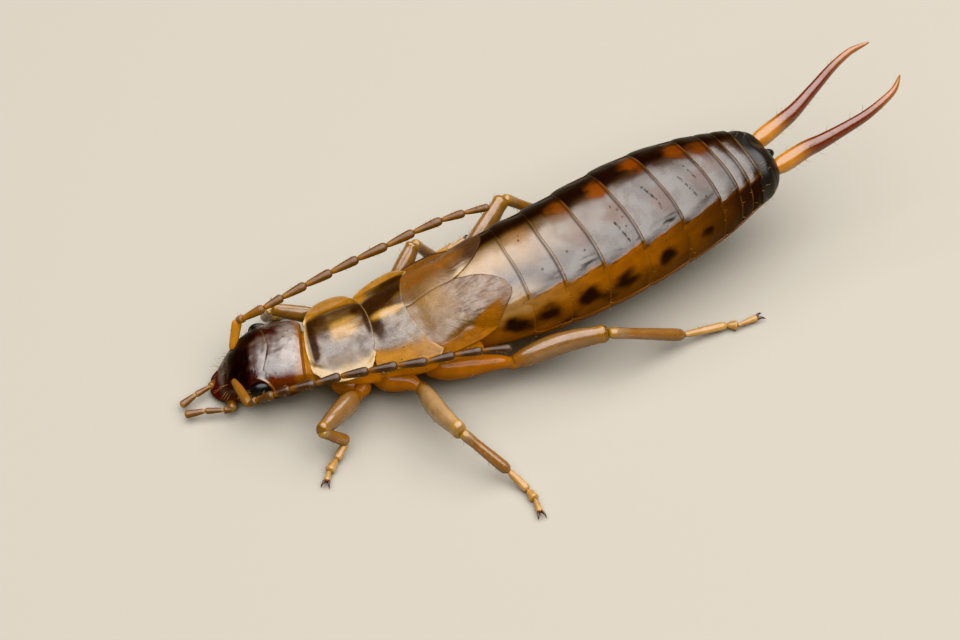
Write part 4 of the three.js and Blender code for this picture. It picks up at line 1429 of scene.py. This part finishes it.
@dataclass
class Abdomen(Barrel):
    """Nine overlapping rings over a soft core, and the black last segment."""

    ends: tuple = (4.95, 6.2, 6.93, 7.72, 8.6, 9.53, 10.44, 10.9, 11.2, 11.52)
    half_width: Table = ((5, 1.02), (6, 1.2), (7, 1.28), (8, 1.33), (9, 1.33), (9.8, 1.27), (10.6, 1.14),
                         (11.3, 0.94), (11.8, 0.78), (12, 0.64), (12.1, 0.5))
    crest: Table = ((5, 0.78), (6, 0.99), (7, 1.05), (8, 1.08), (9, 1.08), (9.8, 1.05), (10.6, 0.96),
                    (11.3, 0.83), (11.8, 0.68), (12, 0.56), (12.1, 0.42))
    underside: Table = ((5, -0.72), (6, -0.88), (7, -0.98), (8, -1.04), (9, -1.04), (9.8, -0.98),
                        (10.6, -0.86), (11.3, -0.68), (11.8, -0.52), (12, -0.42), (12.1, -0.32))
    square: float = 2.2
    overlap: float = 0.14
    reach: float = 112.0
    plate: float = 0.03
    grid_step: float = 0.022
    core_start: float = 5.15
    core_length: float = 6.6
    tail_start: float = 11.38
    tail_length: float = 0.74
    ring_hairs: int = 5
    tail_hairs: int = 18
    spots: tuple = ((1, 9, 0.5), (2, 16, 0.8), (3, 14, 0.95), (4, 24, 0.95), (5, 20, 0.85), (6, 12, 0.65))
    blobs: tuple = ((5.78, -78, 1.0), (6.48, -78, 1.0), (7.25, -77, 1.0), (8.07, -79, 1.0), (9.02, -79, 1.0),
                    (9.96, -80, 0.9), (6.04, -92, 0.6), (6.86, -100, 0.7), (7.65, -91, 0.6), (8.5, -98, 0.6))
    scratches: tuple = (((8.25, -20), (8.33, -42)), ((9.16, -4), (9.23, -20)), ((9.23, -24), (9.21, -31)),
                        ((9.9, -10), (10.0, -33)), ((10.16, -2), (10.19, -17)))
    pits: tuple = ((8.38, -6), (8.41, -28), (8.45, -19), (7.47, -30), (7.17, -24), (8.46, -11), (9.15, -47),
                   (10.16, -39), (6.5, 4), (7.3, 28), (8.1, 34), (9.0, 40), (9.3, 12), (9.95, 21), (6.6, -30))
    tail_shade: Table = ((7.5, 0.0), (8.6, 0.12), (9.6, 0.5), (10.3, 0.72), (10.8, 0.92), (11.2, 1.0))
    # Painted shade on the lower flank, by place along the body.
    low_shade: Table = ((5.5, 0.1), (7, 0.45), (8.5, 0.7))
    # Strength along the body of the painted shade in the side crease and of the painted shade over the left
    # of the back.
    crease_shade_run: Table = ((5.6, 0.0), (6.4, 0.35), (7.2, 1.0), (9.9, 1.0), (10.3, 0.0))
    left_shade_run: Table = ((6.5, 0.0), (8.0, 0.12), (9.0, 0.2), (9.8, 0.42), (11.0, 0.3))
    pale_top: Table = ((5.2, 1.0), (6.2, 0.8), (6.9, 0.45), (7.5, 0.2), (8.2, 0.1), (9.0, 0.0))
    pale_flank: Table = ((5.2, 0.8), (6.2, 0.6), (7.0, 0.25), (7.8, 0.0))
    belly_flank: Table = ((5, 0.9), (8, 0.8), (10.5, 0.5))

    def height(self, s: float, y: float) -> float:
        """Height of the back at s and y.

        Args:
            s: Place along the body.
            y: Place to the right.

        Returns:
            The height.
        """
        top, low = along(self.crest, s), along(self.underside, s)
        share = min(abs(y) / along(self.half_width, s), 0.97)
        return (top + low) / 2 + (top - low) / 2 * (1 - share**self.square) ** (1 / self.square)

    @staticmethod
    def at(s: float, y: float, z: float) -> Vector:
        """Place of a point of the abdomen, whose middle bows a little to the right."""
        return SPINE.at(s, y + 0.1 * bump(s, 9.3, 1.7), z)

    def core(self) -> None:
        """Soft skin inside the rings."""
        form = Form()

        def place(u: float, v: float) -> Spot:
            """Point, lay and masks at u and v."""
            s, angle = self.core_start + self.core_length * u, TURN * v
            close = closing(u, 20)
            y, z = self.surface(s, angle, -0.11)
            return self.at(s, y * close, z * close), (s, angle, 0.0), NONE, NONE

        form.sheet(90, 60, place)
        form.finish("abdomen_core", MEMBRANE, "membrane", "abdomen")

    @staticmethod
    def crease(u: float) -> float:
        """Angle of the side crease along one ring, in degrees from the top."""
        return 56 - 9 * u

    def back_masks(self, number: int, s: float, u: float, degrees: float) -> Masks:
        """Masks of a back ring.

        Args:
            number: The ring's number from 0.
            s: Place along the body.
            u: Share along the ring.
            degrees: Angle from the top.

        Returns:
            Both masks: flank, blobs with painted shade on the lower flank, spots; front rings, margin, pits
                and scratches with painted shade in the creases, before the hind margin and over the back.
        """
        away = abs(degrees)
        edge = away - self.crease(u) + 3 * rough(s * 3, degrees * 0.1, 0, 2.0)
        edge += 1.5 * rough(s * 3, degrees * 0.3, 4, 5.0)
        flank = smooth(-3, 4, edge)
        blob_and_belly_shade = self.blob_and_belly_shade(s, degrees, flank)
        spot = self.spot(number, s, degrees)
        # Painted shade over the back, kept off the spots.
        smoke = self.smoke(number, s, u, degrees, edge, flank) * (1 - spot)
        pale = along(self.pale_top, s) * smooth(30, 0, away)
        side = along(self.pale_flank, s) * flank * (1 - blob_and_belly_shade) * smooth(82, 62, away)
        shoulder = 0.85 * smooth(6.7, 5.9, s) * smooth(28, 46, away) * (1 - blob_and_belly_shade) * smooth(82, 66, away)
        left = (1 - u) * (self.ends[number + 1] - self.ends[number])
        margin = smooth(0.03, 0.013, left) * 0.85
        # Painted shade: a dark line just in front of the hind margin, taken with the other painted shade and
        # the pits and scratches into the third mask.
        line = bump(left, 0.055, 0.022) * smooth(self.crease(u) + 20, self.crease(u), away) * 0.8
        marks = max(line, smoke, self.scratch(s, degrees))
        return (flank, blob_and_belly_shade, spot), (max(pale, side, shoulder), margin, marks)

    def blob_and_belly_shade(self, s: float, degrees: float, flank: float) -> float:
        """Mask of the dark cloudy blobs of the flank, which join towards the tail, with painted shade
        darkening the flank towards the belly.

        Args:
            s: Place along the body.
            degrees: Angle from the top.
            flank: Mask of the flank.

        Returns:
            The mask.
        """
        away = abs(degrees)
        total = 0.0
        for where, angle, strength in self.blobs:
            total += strength * math.exp(-(((s - where) / 0.27) ** 2) - ((away + angle) / 14) ** 2)
        total *= 1 + 0.35 * rough(s, degrees / 40, 8, 4)
        # Painted shade: the flank darkens towards the belly.
        shade = smooth(66, 92, away + 8 * rough(s, degrees / 20, 2, 3)) * along(self.low_shade, s)
        cloud = smooth(0.1, 0.95, total + 0.08 * rough(s, degrees / 40, 3, 9))
        return max(cloud, shade * 0.8, along(self.tail_shade, s) * flank)

    def spot(self, number: int, s: float, degrees: float) -> float:
        """Mask of the reddish spots of a ring, which are fainter on the left.

        Args:
            number: The ring's number from 0.
            s: Place along the body.
            degrees: Angle from the top.

        Returns:
            The mask.
        """
        spot = 0.0
        for ring, angle, strength in self.spots:
            if ring == number:
                centre = self.ends[ring + 1] - (0.4 if ring == 1 else 0.17)
                spot = strength * soft_spot((s - centre) / 0.3, (abs(degrees) - angle) / 15, s, degrees)
                spot *= 1.0 if degrees > 0 else 0.3
        return spot

    def smoke(self, number: int, s: float, u: float, degrees: float, edge: float, flank: float) -> float:
        """Mask of painted shade over the back.

        Args:
            number: The ring's number from 0.
            s: Place along the body.
            u: Share along the ring.
            degrees: Angle from the top.
            edge: Degrees beyond the ragged side crease.
            flank: Mask of the flank.

        Returns:
            Painted shade inside the crease and along its edge, over the left of the back towards the tail,
            and over the right of the mid-line.
        """
        # Painted shade in the side crease.
        crease_shade = bump(edge, -7, 6) * smooth(0.2, 0.7, u) * smooth(1.0, 0.94, u)
        smoke = 0.8 * crease_shade * smooth(-0.25, 0.35, rough(s, degrees / 12, number, 3.5))
        smoke *= along(self.crease_shade_run, s)
        # Painted shade over the left of the back, growing towards the tail.
        haze = along(self.left_shade_run, s) * smooth(0.1, 1.0, u) * smooth(10, -30, degrees)
        # Painted shade along the edge of the crease.
        seam = 0.35 * bump(edge, -3, 3) * smooth(10.6, 9.9, s)
        # Painted shade over the right of the back, away from the light, here and in the last term below.
        right_side_shade = 0.94 * smooth(7, 19, degrees - 5 * (s < 7.2) + 5 * rough(s, degrees / 30, 6, 2))
        return max(smoke, seam, haze, right_side_shade * (1 - flank), 0.3 * smooth(0, 30, degrees))

    def scratch(self, s: float, degrees: float) -> float:
        """Mask of the pits and broken scratches on the back.

        Args:
            s: Place along the body.
            degrees: Angle from the top.

        Returns:
            The mask.
        """
        if not -55 < degrees < 45:
            return 0.0
        turn = degrees / 48
        best = min(math.hypot(s - where, turn - angle / 48) for where, angle in self.pits)
        for ends in self.scratches:
            away = near_line(s, turn, [(where, angle / 48) for where, angle in ends])
            best = min(best, away + 0.02 * smooth(-0.1, 0.25, rough(s, turn, 1, 22)))
        return 0.9 * smooth(0.03, 0.01, best)

    def back(self, name: str, numbers: range) -> None:
        """Back rings with their creases, ridges and curled hind margins.

        Args:
            name: Name of the piece.
            numbers: Which rings it holds.
        """
        form = Form()
        for number in numbers:
            start = self.ends[number] - (self.overlap if number else 0.0)
            length = self.ends[number + 1] - start

            def place(u: float, v: float, number: int = number, start: float = start,
                      length: float = length) -> Spot:
                """Point, lay and masks at u and v."""
                degrees = self.reach * (2 * v - 1)
                away = abs(degrees)
                s = start + length * u
                lift = -0.045 * smooth(0.3, 0.0, u * length)
                lift += 0.01 * math.sin(math.pi * min(u * 1.1, 1.0)) ** 2
                lift -= 0.015 * smooth(length - 0.012, length, u * length)
                crease = self.crease(u) + 1.2 * rough(s * 6, 0, number, 1.5)
                groove = 0.014 * bump(away, crease - 4.5, 5) * smooth(0.35, 0.8, u) * smooth(1.0, 0.9, u)
                lift -= groove * smooth(0.6, 0.95, length)
                lift += 0.004 * bump(away, crease + 0.6, 1.6) * smooth(0.1, 0.4, u)
                lift -= 0.05 * smooth(crease, crease + 14, away)
                lift += 0.004 * rough(s, degrees / 40, number, 4)
                sway = 0.03 * math.sin(math.radians(away) * 2)
                y, z = self.surface(s, math.radians(degrees), lift)
                masks = self.back_masks(number, s, u, degrees)
                return self.at(s + sway * u, y, z), (s, math.radians(degrees) * 1.15, 0.0), *masks

            form.shell(max(int(length / self.grid_step), 16), 200, place, self.plate)
        form.finish(name, CUTICLE_ABDOMEN, "cuticle_abdomen", "abdomen")

    def belly(self) -> None:
        """Belly rings."""
        form = Form()
        for ring_start, ring_end in zip(self.ends[1:9], self.ends[2:]):
            def place(u: float, v: float, start: float = ring_start - self.overlap,
                      end: float = ring_end) -> Spot:
                """Point, lay and masks at u and v."""
                degrees = 105 + 150 * v
                s = start + (end - start) * u
                lift = -0.035 - 0.05 * smooth(0.3, 0.0, u) - 0.03 * smooth(0.985, 1.0, u)
                y, z = self.surface(s, math.radians(degrees), lift)
                masks = (along(self.belly_flank, s), 0.0, 0.0), (0.0, smooth(0.94, 0.98, u), 0.0)
                return self.at(s, y, z), (s, math.radians(degrees) * 1.15, 0.0), *masks

            form.shell(26, 80, place, self.plate)
        form.finish("abdomen_belly_rings", CUTICLE_ABDOMEN, "cuticle_abdomen", "abdomen")

    def tail(self) -> None:
        """Black last segment with its dented back and the small plate between the forceps."""
        form = Form()
        middle = 0.1

        def place(u: float, v: float) -> Spot:
            """Point, lay and masks at u and v."""
            angle = TURN * (v - 0.5)
            s = self.tail_start + self.tail_length * u
            close = math.sqrt(max(1 - max((u - 0.4) / 0.6, 0.0) ** 2.4, 0.0))
            close *= 1 - 0.3 * smooth(0.1, 0.0, u)
            lift = -0.035 + 0.03 * bump(u, 0.6, 0.25)
            y, z = self.surface(min(s, 11.85), angle, lift)
            z -= 0.07 * bump(y, 0.05, 0.16) * smooth(0.2, 0.8, u) * smooth(0, 0.3, z)
            z += 0.03 * bump(abs(y), 0.42, 0.16) * smooth(0.3, 0.8, u) * smooth(0, 0.3, z)
            spot = self.at(s, y * (0.3 + 0.7 * close), middle + (z - middle) * close)
            return spot, (s, angle, 0.0), NONE, NONE

        form.sheet(60, 96, place)
        line = [SPINE.at(s, 0.03, z) for s, z in ((11.95, 0.12), (12.1, 0.12), (12.24, 0.1))]
        radii = (0.13, 0.14, 0.14, 0.14, 0.13, 0.13, 0.12, 0.11, 0.09, 0.06)
        form.tube(curve(line, len(radii)), radii, 20, flat=0.8)
        form.finish("last_segment_cuticle", CUTICLE_TAIL, "cuticle_tail", "last_segment")

    def build(self) -> None:
        """Makes the pieces of the abdomen."""
        self.core()
        self.back("abdomen_front_rings", range(4))
        self.back("abdomen_hind_rings", range(4, 9))
        self.belly()
        self.tail()
        hairs = Bristles(23)
        for number, end in enumerate(self.ends[1:]):
            for _ in range(self.ring_hairs + number // 2):
                degrees = hairs.draw.choice((-1, 1)) * hairs.draw.uniform(58, 108)
                hairs.on_body(self.surface, end - hairs.draw.uniform(0.02, 0.12), degrees, 0.05, 1.0)
        for _ in range(self.tail_hairs):
            s, degrees = hairs.draw.uniform(11.5, 11.75), hairs.draw.uniform(-150, 150)
            hairs.on_body(self.surface, s, degrees, 0.09, 1.0)
        hairs.finish("abdomen_bristles", "cuticle_abdomen")


@dataclass
class Forceps:
    """The pincers at the tail."""

    left: tuple = ((12.05, -0.36, 0.12), (12.36, -0.37, 0.18), (12.75, -0.38, 0.26), (13.06, -0.44, 0.33),
                   (13.58, -0.49, 0.42), (14.08, -0.52, 0.5), (14.55, -0.45, 0.52), (14.92, -0.33, 0.51),
                   (15.22, -0.09, 0.48))
    right: tuple = ((12.05, 0.42, 0.1), (12.36, 0.46, 0.16), (12.75, 0.53, 0.2), (13.08, 0.58, 0.26),
                    (13.67, 0.75, 0.38), (14.27, 0.93, 0.47), (14.72, 1.02, 0.49), (15.0, 1.02, 0.47),
                    (15.2, 1.0, 0.45))
    radius: Table = ((0, 0.16), (0.06, 0.2), (0.2, 0.19), (0.45, 0.14), (0.7, 0.105), (0.88, 0.075),
                     (0.97, 0.04), (1, 0.015))
    flat: float = 0.86
    stations: int = 90
    hairy: tuple[int, int] = (8, 70)
    hairs: int = 22

    @staticmethod
    def trait(share: float) -> Masks:
        """Masks along one arm: amber root, paler tip."""
        return (smooth(0.3, 0.08, share), smooth(0.6, 0.9, share), 0.0), NONE

    def build(self) -> None:
        """Makes both arms and their few hairs."""
        hairs = Bristles(31)
        radii = taper(self.radius, self.stations)
        first, last = self.hairy
        for side, points in zip(Side, (self.left, self.right)):
            form = Form()
            line = curve([SPINE.at(*point) for point in points], self.stations)
            form.tube(line, radii, 36, flat=self.flat, trait=self.trait)
            form.finish(f"forceps_{side.word}_arm", FORCEPS_FINISH, "forceps", f"forceps_{side.word}")
            skin = [radius * 0.93 for radius in radii[first:last]]
            hairs.round_line(line[first:last], skin, self.hairs, 0.13, 0.3 + 0.15 * side.value)
        hairs.finish("forceps_bristles", "forceps")


LEG_NAMES = ("leg_front", "leg_mid", "leg_hind")
VIEW_RAY = Vector((0.38, 0.82, -1.0))


@dataclass
class Leg:
    """One leg in its pose, from hip to claws."""

    name: str
    side: Side
    coxa: tuple[tuple[float, ...], ...]
    thigh: Triple
    knee: Triple
    ankle: Triple
    toes: tuple[Triple, Triple, Triple]
    femur: float = 0.165
    shin: float = 0.1
    bow: Triple = NONE
    shape: Table = ((0, 0.62), (0.12, 0.85), (0.35, 1.0), (0.7, 0.9), (0.88, 0.78), (0.96, 0.8), (1, 0.55))
    shin_shape: Table = ((0, 0.75), (0.06, 1.0), (0.3, 0.95), (0.8, 1.08), (0.95, 1.0), (1, 0.6))
    ankle_slide: float = 0.1
    toe_rests: Triple = (0.1, 0.1, 0.085)
    toe_sizes: tuple[Triple, ...] = ((0.085, 0.8, 0.95), (0.08, 0.7, 1.15), (0.062, 0.7, 1.0))
    claw: tuple[Triple, ...] = ((-0.03, 0.02, 0.0), (0.06, 0.055, 0.02), (0.12, 0.075, -0.01),
                                (0.15, 0.08, -0.045))
    tan: float = 0.45

    @staticmethod
    def low(point: Triple, radius: float) -> Vector:
        """Place of a foot joint, slid along the line of sight until it stands radius above the floor."""
        return SPINE.pose(point) + VIEW_RAY * (point[2] - radius)

    @staticmethod
    def coxa_masks(share: float) -> Masks:
        """Masks along the hip: amber with a pale end."""
        return NONE, (0.0, 0.9, 0.3 * smooth(0.9, 1.0, share))

    @staticmethod
    def trochanter_masks(share: float) -> Masks:
        """Masks along the short joint below the hip: amber that fades."""
        return NONE, (0.0, 0.8 * smooth(0.9, 0.3, share), 0.0)

    def femur_masks(self, share: float) -> Masks:
        """Masks along the thigh: tan or pale, with an amber root and a dark knee."""
        upper = (smooth(0.84, 0.95, share), max(self.tan, 0.0), bump(share, 0.99, 0.02) * 0.6)
        return upper, (0.0, 0.5 * smooth(0.2, 0.0, share), max(-self.tan, 0.0))

    @staticmethod
    def shin_masks(share: float) -> Masks:
        """Masks along the shin: pale root, tan below."""
        return (smooth(0.12, 0.0, share), 0.8 * smooth(0.1, 0.3, share), 0.0), NONE

    @staticmethod
    def toe_masks(share: float) -> Masks:
        """Masks along a foot joint: yellowish with a darker end."""
        return (0.0, 0.0, 0.35 * bump(share, 1.0, 0.06)), (0.9, 0.0, 0.0)

    def build(self, hairs: Bristles) -> None:
        """Makes the leg.

        Args:
            hairs: The hairs of all legs, which this leg adds to.
        """
        form = Form()
        thigh, knee = SPINE.pose(self.thigh), SPINE.pose(self.knee)
        ankle = SPINE.pose(self.ankle) + VIEW_RAY * self.ankle_slide
        toes = [self.low(point, radius) for point, radius in zip(self.toes, self.toe_rests)]
        joints = [SPINE.at(s, self.side.value * y, z) for s, y, z, _ in self.coxa]
        sizes = [*(radius for *_, radius in self.coxa), 0.1]
        coxa = curve([*joints, joints[-1].lerp(thigh, 0.85)], 40)
        widths = taper(tuple((k / (len(sizes) - 1), radius) for k, radius in enumerate(sizes)), 40)
        rounded = [radius * math.sqrt(min((k + 0.5) / 5, 1.0)) for k, radius in enumerate(widths)]
        form.tube(coxa, rounded, 32, trait=self.coxa_masks)
        trochanter = curve([joints[-1].lerp(thigh, 0.6), thigh, thigh.lerp(knee, 0.1)], 16)
        form.tube(trochanter, taper(((0, 0.1), (0.4, 0.14), (1, 0.12)), 16), 24, trait=self.trochanter_masks)
        middle = thigh.lerp(knee, 0.5) + Vector(self.bow)
        femur = curve([thigh.lerp(knee, 0.02), middle, knee], 48)
        place = 0.02 + 0.3 * LEG_NAMES.index(self.name)
        hairs.round_line(coxa[10:34], widths[10:34], 8, 0.09, place)
        hairs.round_line(femur[3:], taper(self.shape, 48, self.femur * 0.85)[3:], 18, 0.085, place + 0.07)
        form.tube(femur, taper(self.shape, 48, self.femur), 32, flat=0.8, trait=self.femur_masks)
        shin = curve([knee - (knee - ankle).normalized() * 0.02, knee.lerp(ankle, 0.5), ankle], 36)
        form.tube(shin, taper(self.shin_shape, 36, self.shin), 24, trait=self.shin_masks)
        hairs.round_line(shin[2:], [self.shin] * 34, 18, 0.075, place + 0.14)
        stops = [ankle, *toes]
        for start, end, (radius, narrow, broad) in zip(stops, stops[1:], self.toe_sizes):
            line = curve([start.lerp(end, 0.01), start.lerp(end, 0.5), end], 20)
            hairs.round_line(line, [radius * 0.9] * 20, 8, 0.07, place + 0.21)
            profile = ((0, narrow * 0.7), (0.15, narrow), (0.7, broad), (0.92, broad), (1, 0.5))
            form.tube(line, taper(profile, 20, radius), 20, trait=self.toe_masks)
        form.finish(f"{self.name}_{self.side.word}_segments", LEG, "leg", f"{self.name}_{self.side.word}")
        self.claws(toes[1], toes[2])

    def claws(self, before: Vector, tip: Vector) -> None:
        """Adds the pair of claws at the foot's end.

        Args:
            before: The last foot joint.
            tip: The foot's end.
        """
        form = Form()
        way = tip - before
        way.z = 0
        way.normalize()
        across = Vector((-way.y, way.x, 0))
        for sign in (-1, 1):
            line = [tip + way * ahead + across * sign * out + UP * rise for ahead, out, rise in self.claw]
            form.tube(curve(line, 12), [0.03 * (1 - (k / 11) ** 1.6) + 0.002 for k in range(12)], 10)
        form.finish(f"{self.name}_{self.side.word}_claws", CLAW, "leg", f"{self.name}_{self.side.word}")


FRONT_COXA = ((2.35, 0.45, -0.32, 0.16), (2.6, 0.62, -0.4, 0.25), (2.85, 0.78, -0.44, 0.22))
MID_COXA = ((3.1, 0.55, -0.36, 0.16), (3.42, 0.78, -0.44, 0.26), (3.7, 0.96, -0.46, 0.22))
HIND_COXA = ((3.98, 0.68, -0.42, 0.16), (4.5, 0.92, -0.48, 0.27), (5.0, 1.1, -0.5, 0.25),
             (5.4, 1.27, -0.49, 0.17))
LEGS = (
    Leg("leg_front", Side.LEFT, FRONT_COXA, (-2.8, -0.37, 0.49), (-3.88, -1.14, 0.8), (-3.37, -1.22, 0.36),
        ((-3.68, -1.42, 0.18), (-3.91, -1.6, 0.14), (-4.05, -1.79, 0.12)), 0.21, 0.11,
        shape=((0, 0.8), (0.12, 1.1), (0.35, 1.15), (0.7, 0.95), (0.88, 0.75), (0.96, 0.72), (1, 0.5))),
    Leg("leg_mid", Side.LEFT, MID_COXA, (-1.57, -0.72, 0.5), (-1.51, -2.4, 0.95), (-0.88, -3.17, 0.32),
        ((-0.69, -3.64, 0.17), (-0.66, -3.88, 0.14), (-0.7, -4.2, 0.12)), 0.235, 0.11, (-0.06, -0.04, 0.02),
        tan=-0.25),
    Leg("leg_hind", Side.LEFT, HIND_COXA, (0.28, -0.88, 0.54), (2.09, -1.34, 1.0), (3.66, -1.48, 0.34),
        ((4.6, -1.47, 0.17), (4.8, -1.54, 0.14), (5.24, -1.5, 0.12)), 0.245, 0.115, (0.02, 0.06, 0.05)),
    Leg("leg_front", Side.RIGHT, FRONT_COXA, (-2.5, 1.72, 0.51), (-3.45, 2.14, 0.78), (-3.5, 2.36, 0.34),
        ((-3.27, 2.45, 0.18), (-3.13, 2.46, 0.14), (-2.88, 2.42, 0.12)), 0.18, 0.1),
    Leg("leg_mid", Side.RIGHT, MID_COXA, (-1.14, 1.68, 0.56), (-0.37, 2.24, 1.14), (0.12, 2.42, 0.34),
        ((0.5, 2.62, 0.17), (0.66, 2.68, 0.14), (0.96, 2.76, 0.12)), 0.225, 0.11),
    Leg("leg_hind", Side.RIGHT, HIND_COXA, (0.36, 1.72, 0.55), (1.66, 2.5, 1.26), (2.77, 2.3, 0.34),
        ((3.47, 2.42, 0.17), (3.71, 2.48, 0.14), (4.1, 2.6, 0.12)), 0.245, 0.11),
)


@dataclass
class Studio:
    """Pale floor, one large soft overhead light and the camera."""

    target: Triple = (-1.9033, 0.7711, 1.0)
    azimuth: float = -25.0
    elevation: float = 48.0
    distance: float = 130.0
    lens: float = 253.5
    light_height: float = 80.0
    light_span: tuple[float, float] = (176.0, 182.0)
    light_watts: float = 0.48
    light_place: Pair = (18.0, -13.0)
    light_colour: Triple = (1.0, 0.985, 0.96)
    floor_radius: float = 600.0
    floor_colour: Triple = (0.27, 0.25, 0.215)
    floor_roughness: float = 0.9
    room_colour: Triple = (0.9, 0.95, 1.0)
    room_strength: float = 0.03

    def build(self) -> None:
        """Sets up floor, lights, world and camera."""
        self.floor()
        self.light()
        self.camera()
        bpy.context.scene.view_settings.view_transform = "Khronos PBR Neutral"

    def floor(self) -> None:
        """Lays the floor."""
        bm = bmesh.new()
        bmesh.ops.create_circle(bm, cap_ends=True, segments=96, radius=self.floor_radius * MM)
        mesh = bpy.data.meshes.new("floor")
        bm.to_mesh(mesh)
        bm.free()
        floor = bpy.data.objects.new("floor", mesh)
        bpy.context.scene.collection.objects.link(floor)
        made = bpy.data.materials.new("floor paper")
        made.use_nodes = True
        shader = made.node_tree.nodes["Principled BSDF"]
        shader.inputs["Base Color"].default_value = colour(self.floor_colour)
        shader.inputs["Roughness"].default_value = self.floor_roughness
        mesh.materials.append(made)

    def light(self) -> None:
        """Hangs the softbox and sets the dim room."""
        data = bpy.data.lights.new("softbox", "AREA")
        data.shape = "RECTANGLE"
        data.size, data.size_y = (span * MM for span in self.light_span)
        data.energy = self.light_watts
        data.color = self.light_colour
        lamp = bpy.data.objects.new("softbox", data)
        lamp.location = [part * MM for part in (*self.light_place, self.light_height)]
        bpy.context.scene.collection.objects.link(lamp)
        world = bpy.data.worlds.new("room")
        world.use_nodes = True
        background = world.node_tree.nodes["Background"]
        background.inputs["Color"].default_value = colour(self.room_colour)
        background.inputs["Strength"].default_value = self.room_strength
        bpy.context.scene.world = world

    def camera(self) -> None:
        """Places the camera at the photograph's angle."""
        data = bpy.data.cameras.new("camera")
        data.lens = self.lens
        data.clip_start, data.clip_end = 0.001, 10.0
        turn, climb = math.radians(self.azimuth), math.radians(self.elevation)
        back = Vector((math.sin(turn) * math.cos(climb), -math.cos(turn) * math.cos(climb), math.sin(climb)))
        camera = bpy.data.objects.new("camera", data)
        camera.location = (Vector(self.target) + back * self.distance) * MM
        camera.rotation_euler = back.to_track_quat("Z", "Y").to_euler()
        bpy.context.scene.collection.objects.link(camera)
        bpy.context.scene.camera = camera


def main() -> None:
    """Builds every piece and the studio."""
    logging.basicConfig(level=logging.INFO, format="%(name)s %(message)s")
    Head().build()
    Feelers().build()
    Palps().build()
    thorax = Thorax()
    abdomen = Abdomen()
    thorax.build(abdomen)
    abdomen.build()
    Forceps().build()
    hairs = Bristles(47)
    for leg in LEGS:
        leg.build(hairs)
    hairs.finish("leg_bristles", "leg")
    Studio().build()


if __name__ == "__main__":
    main()
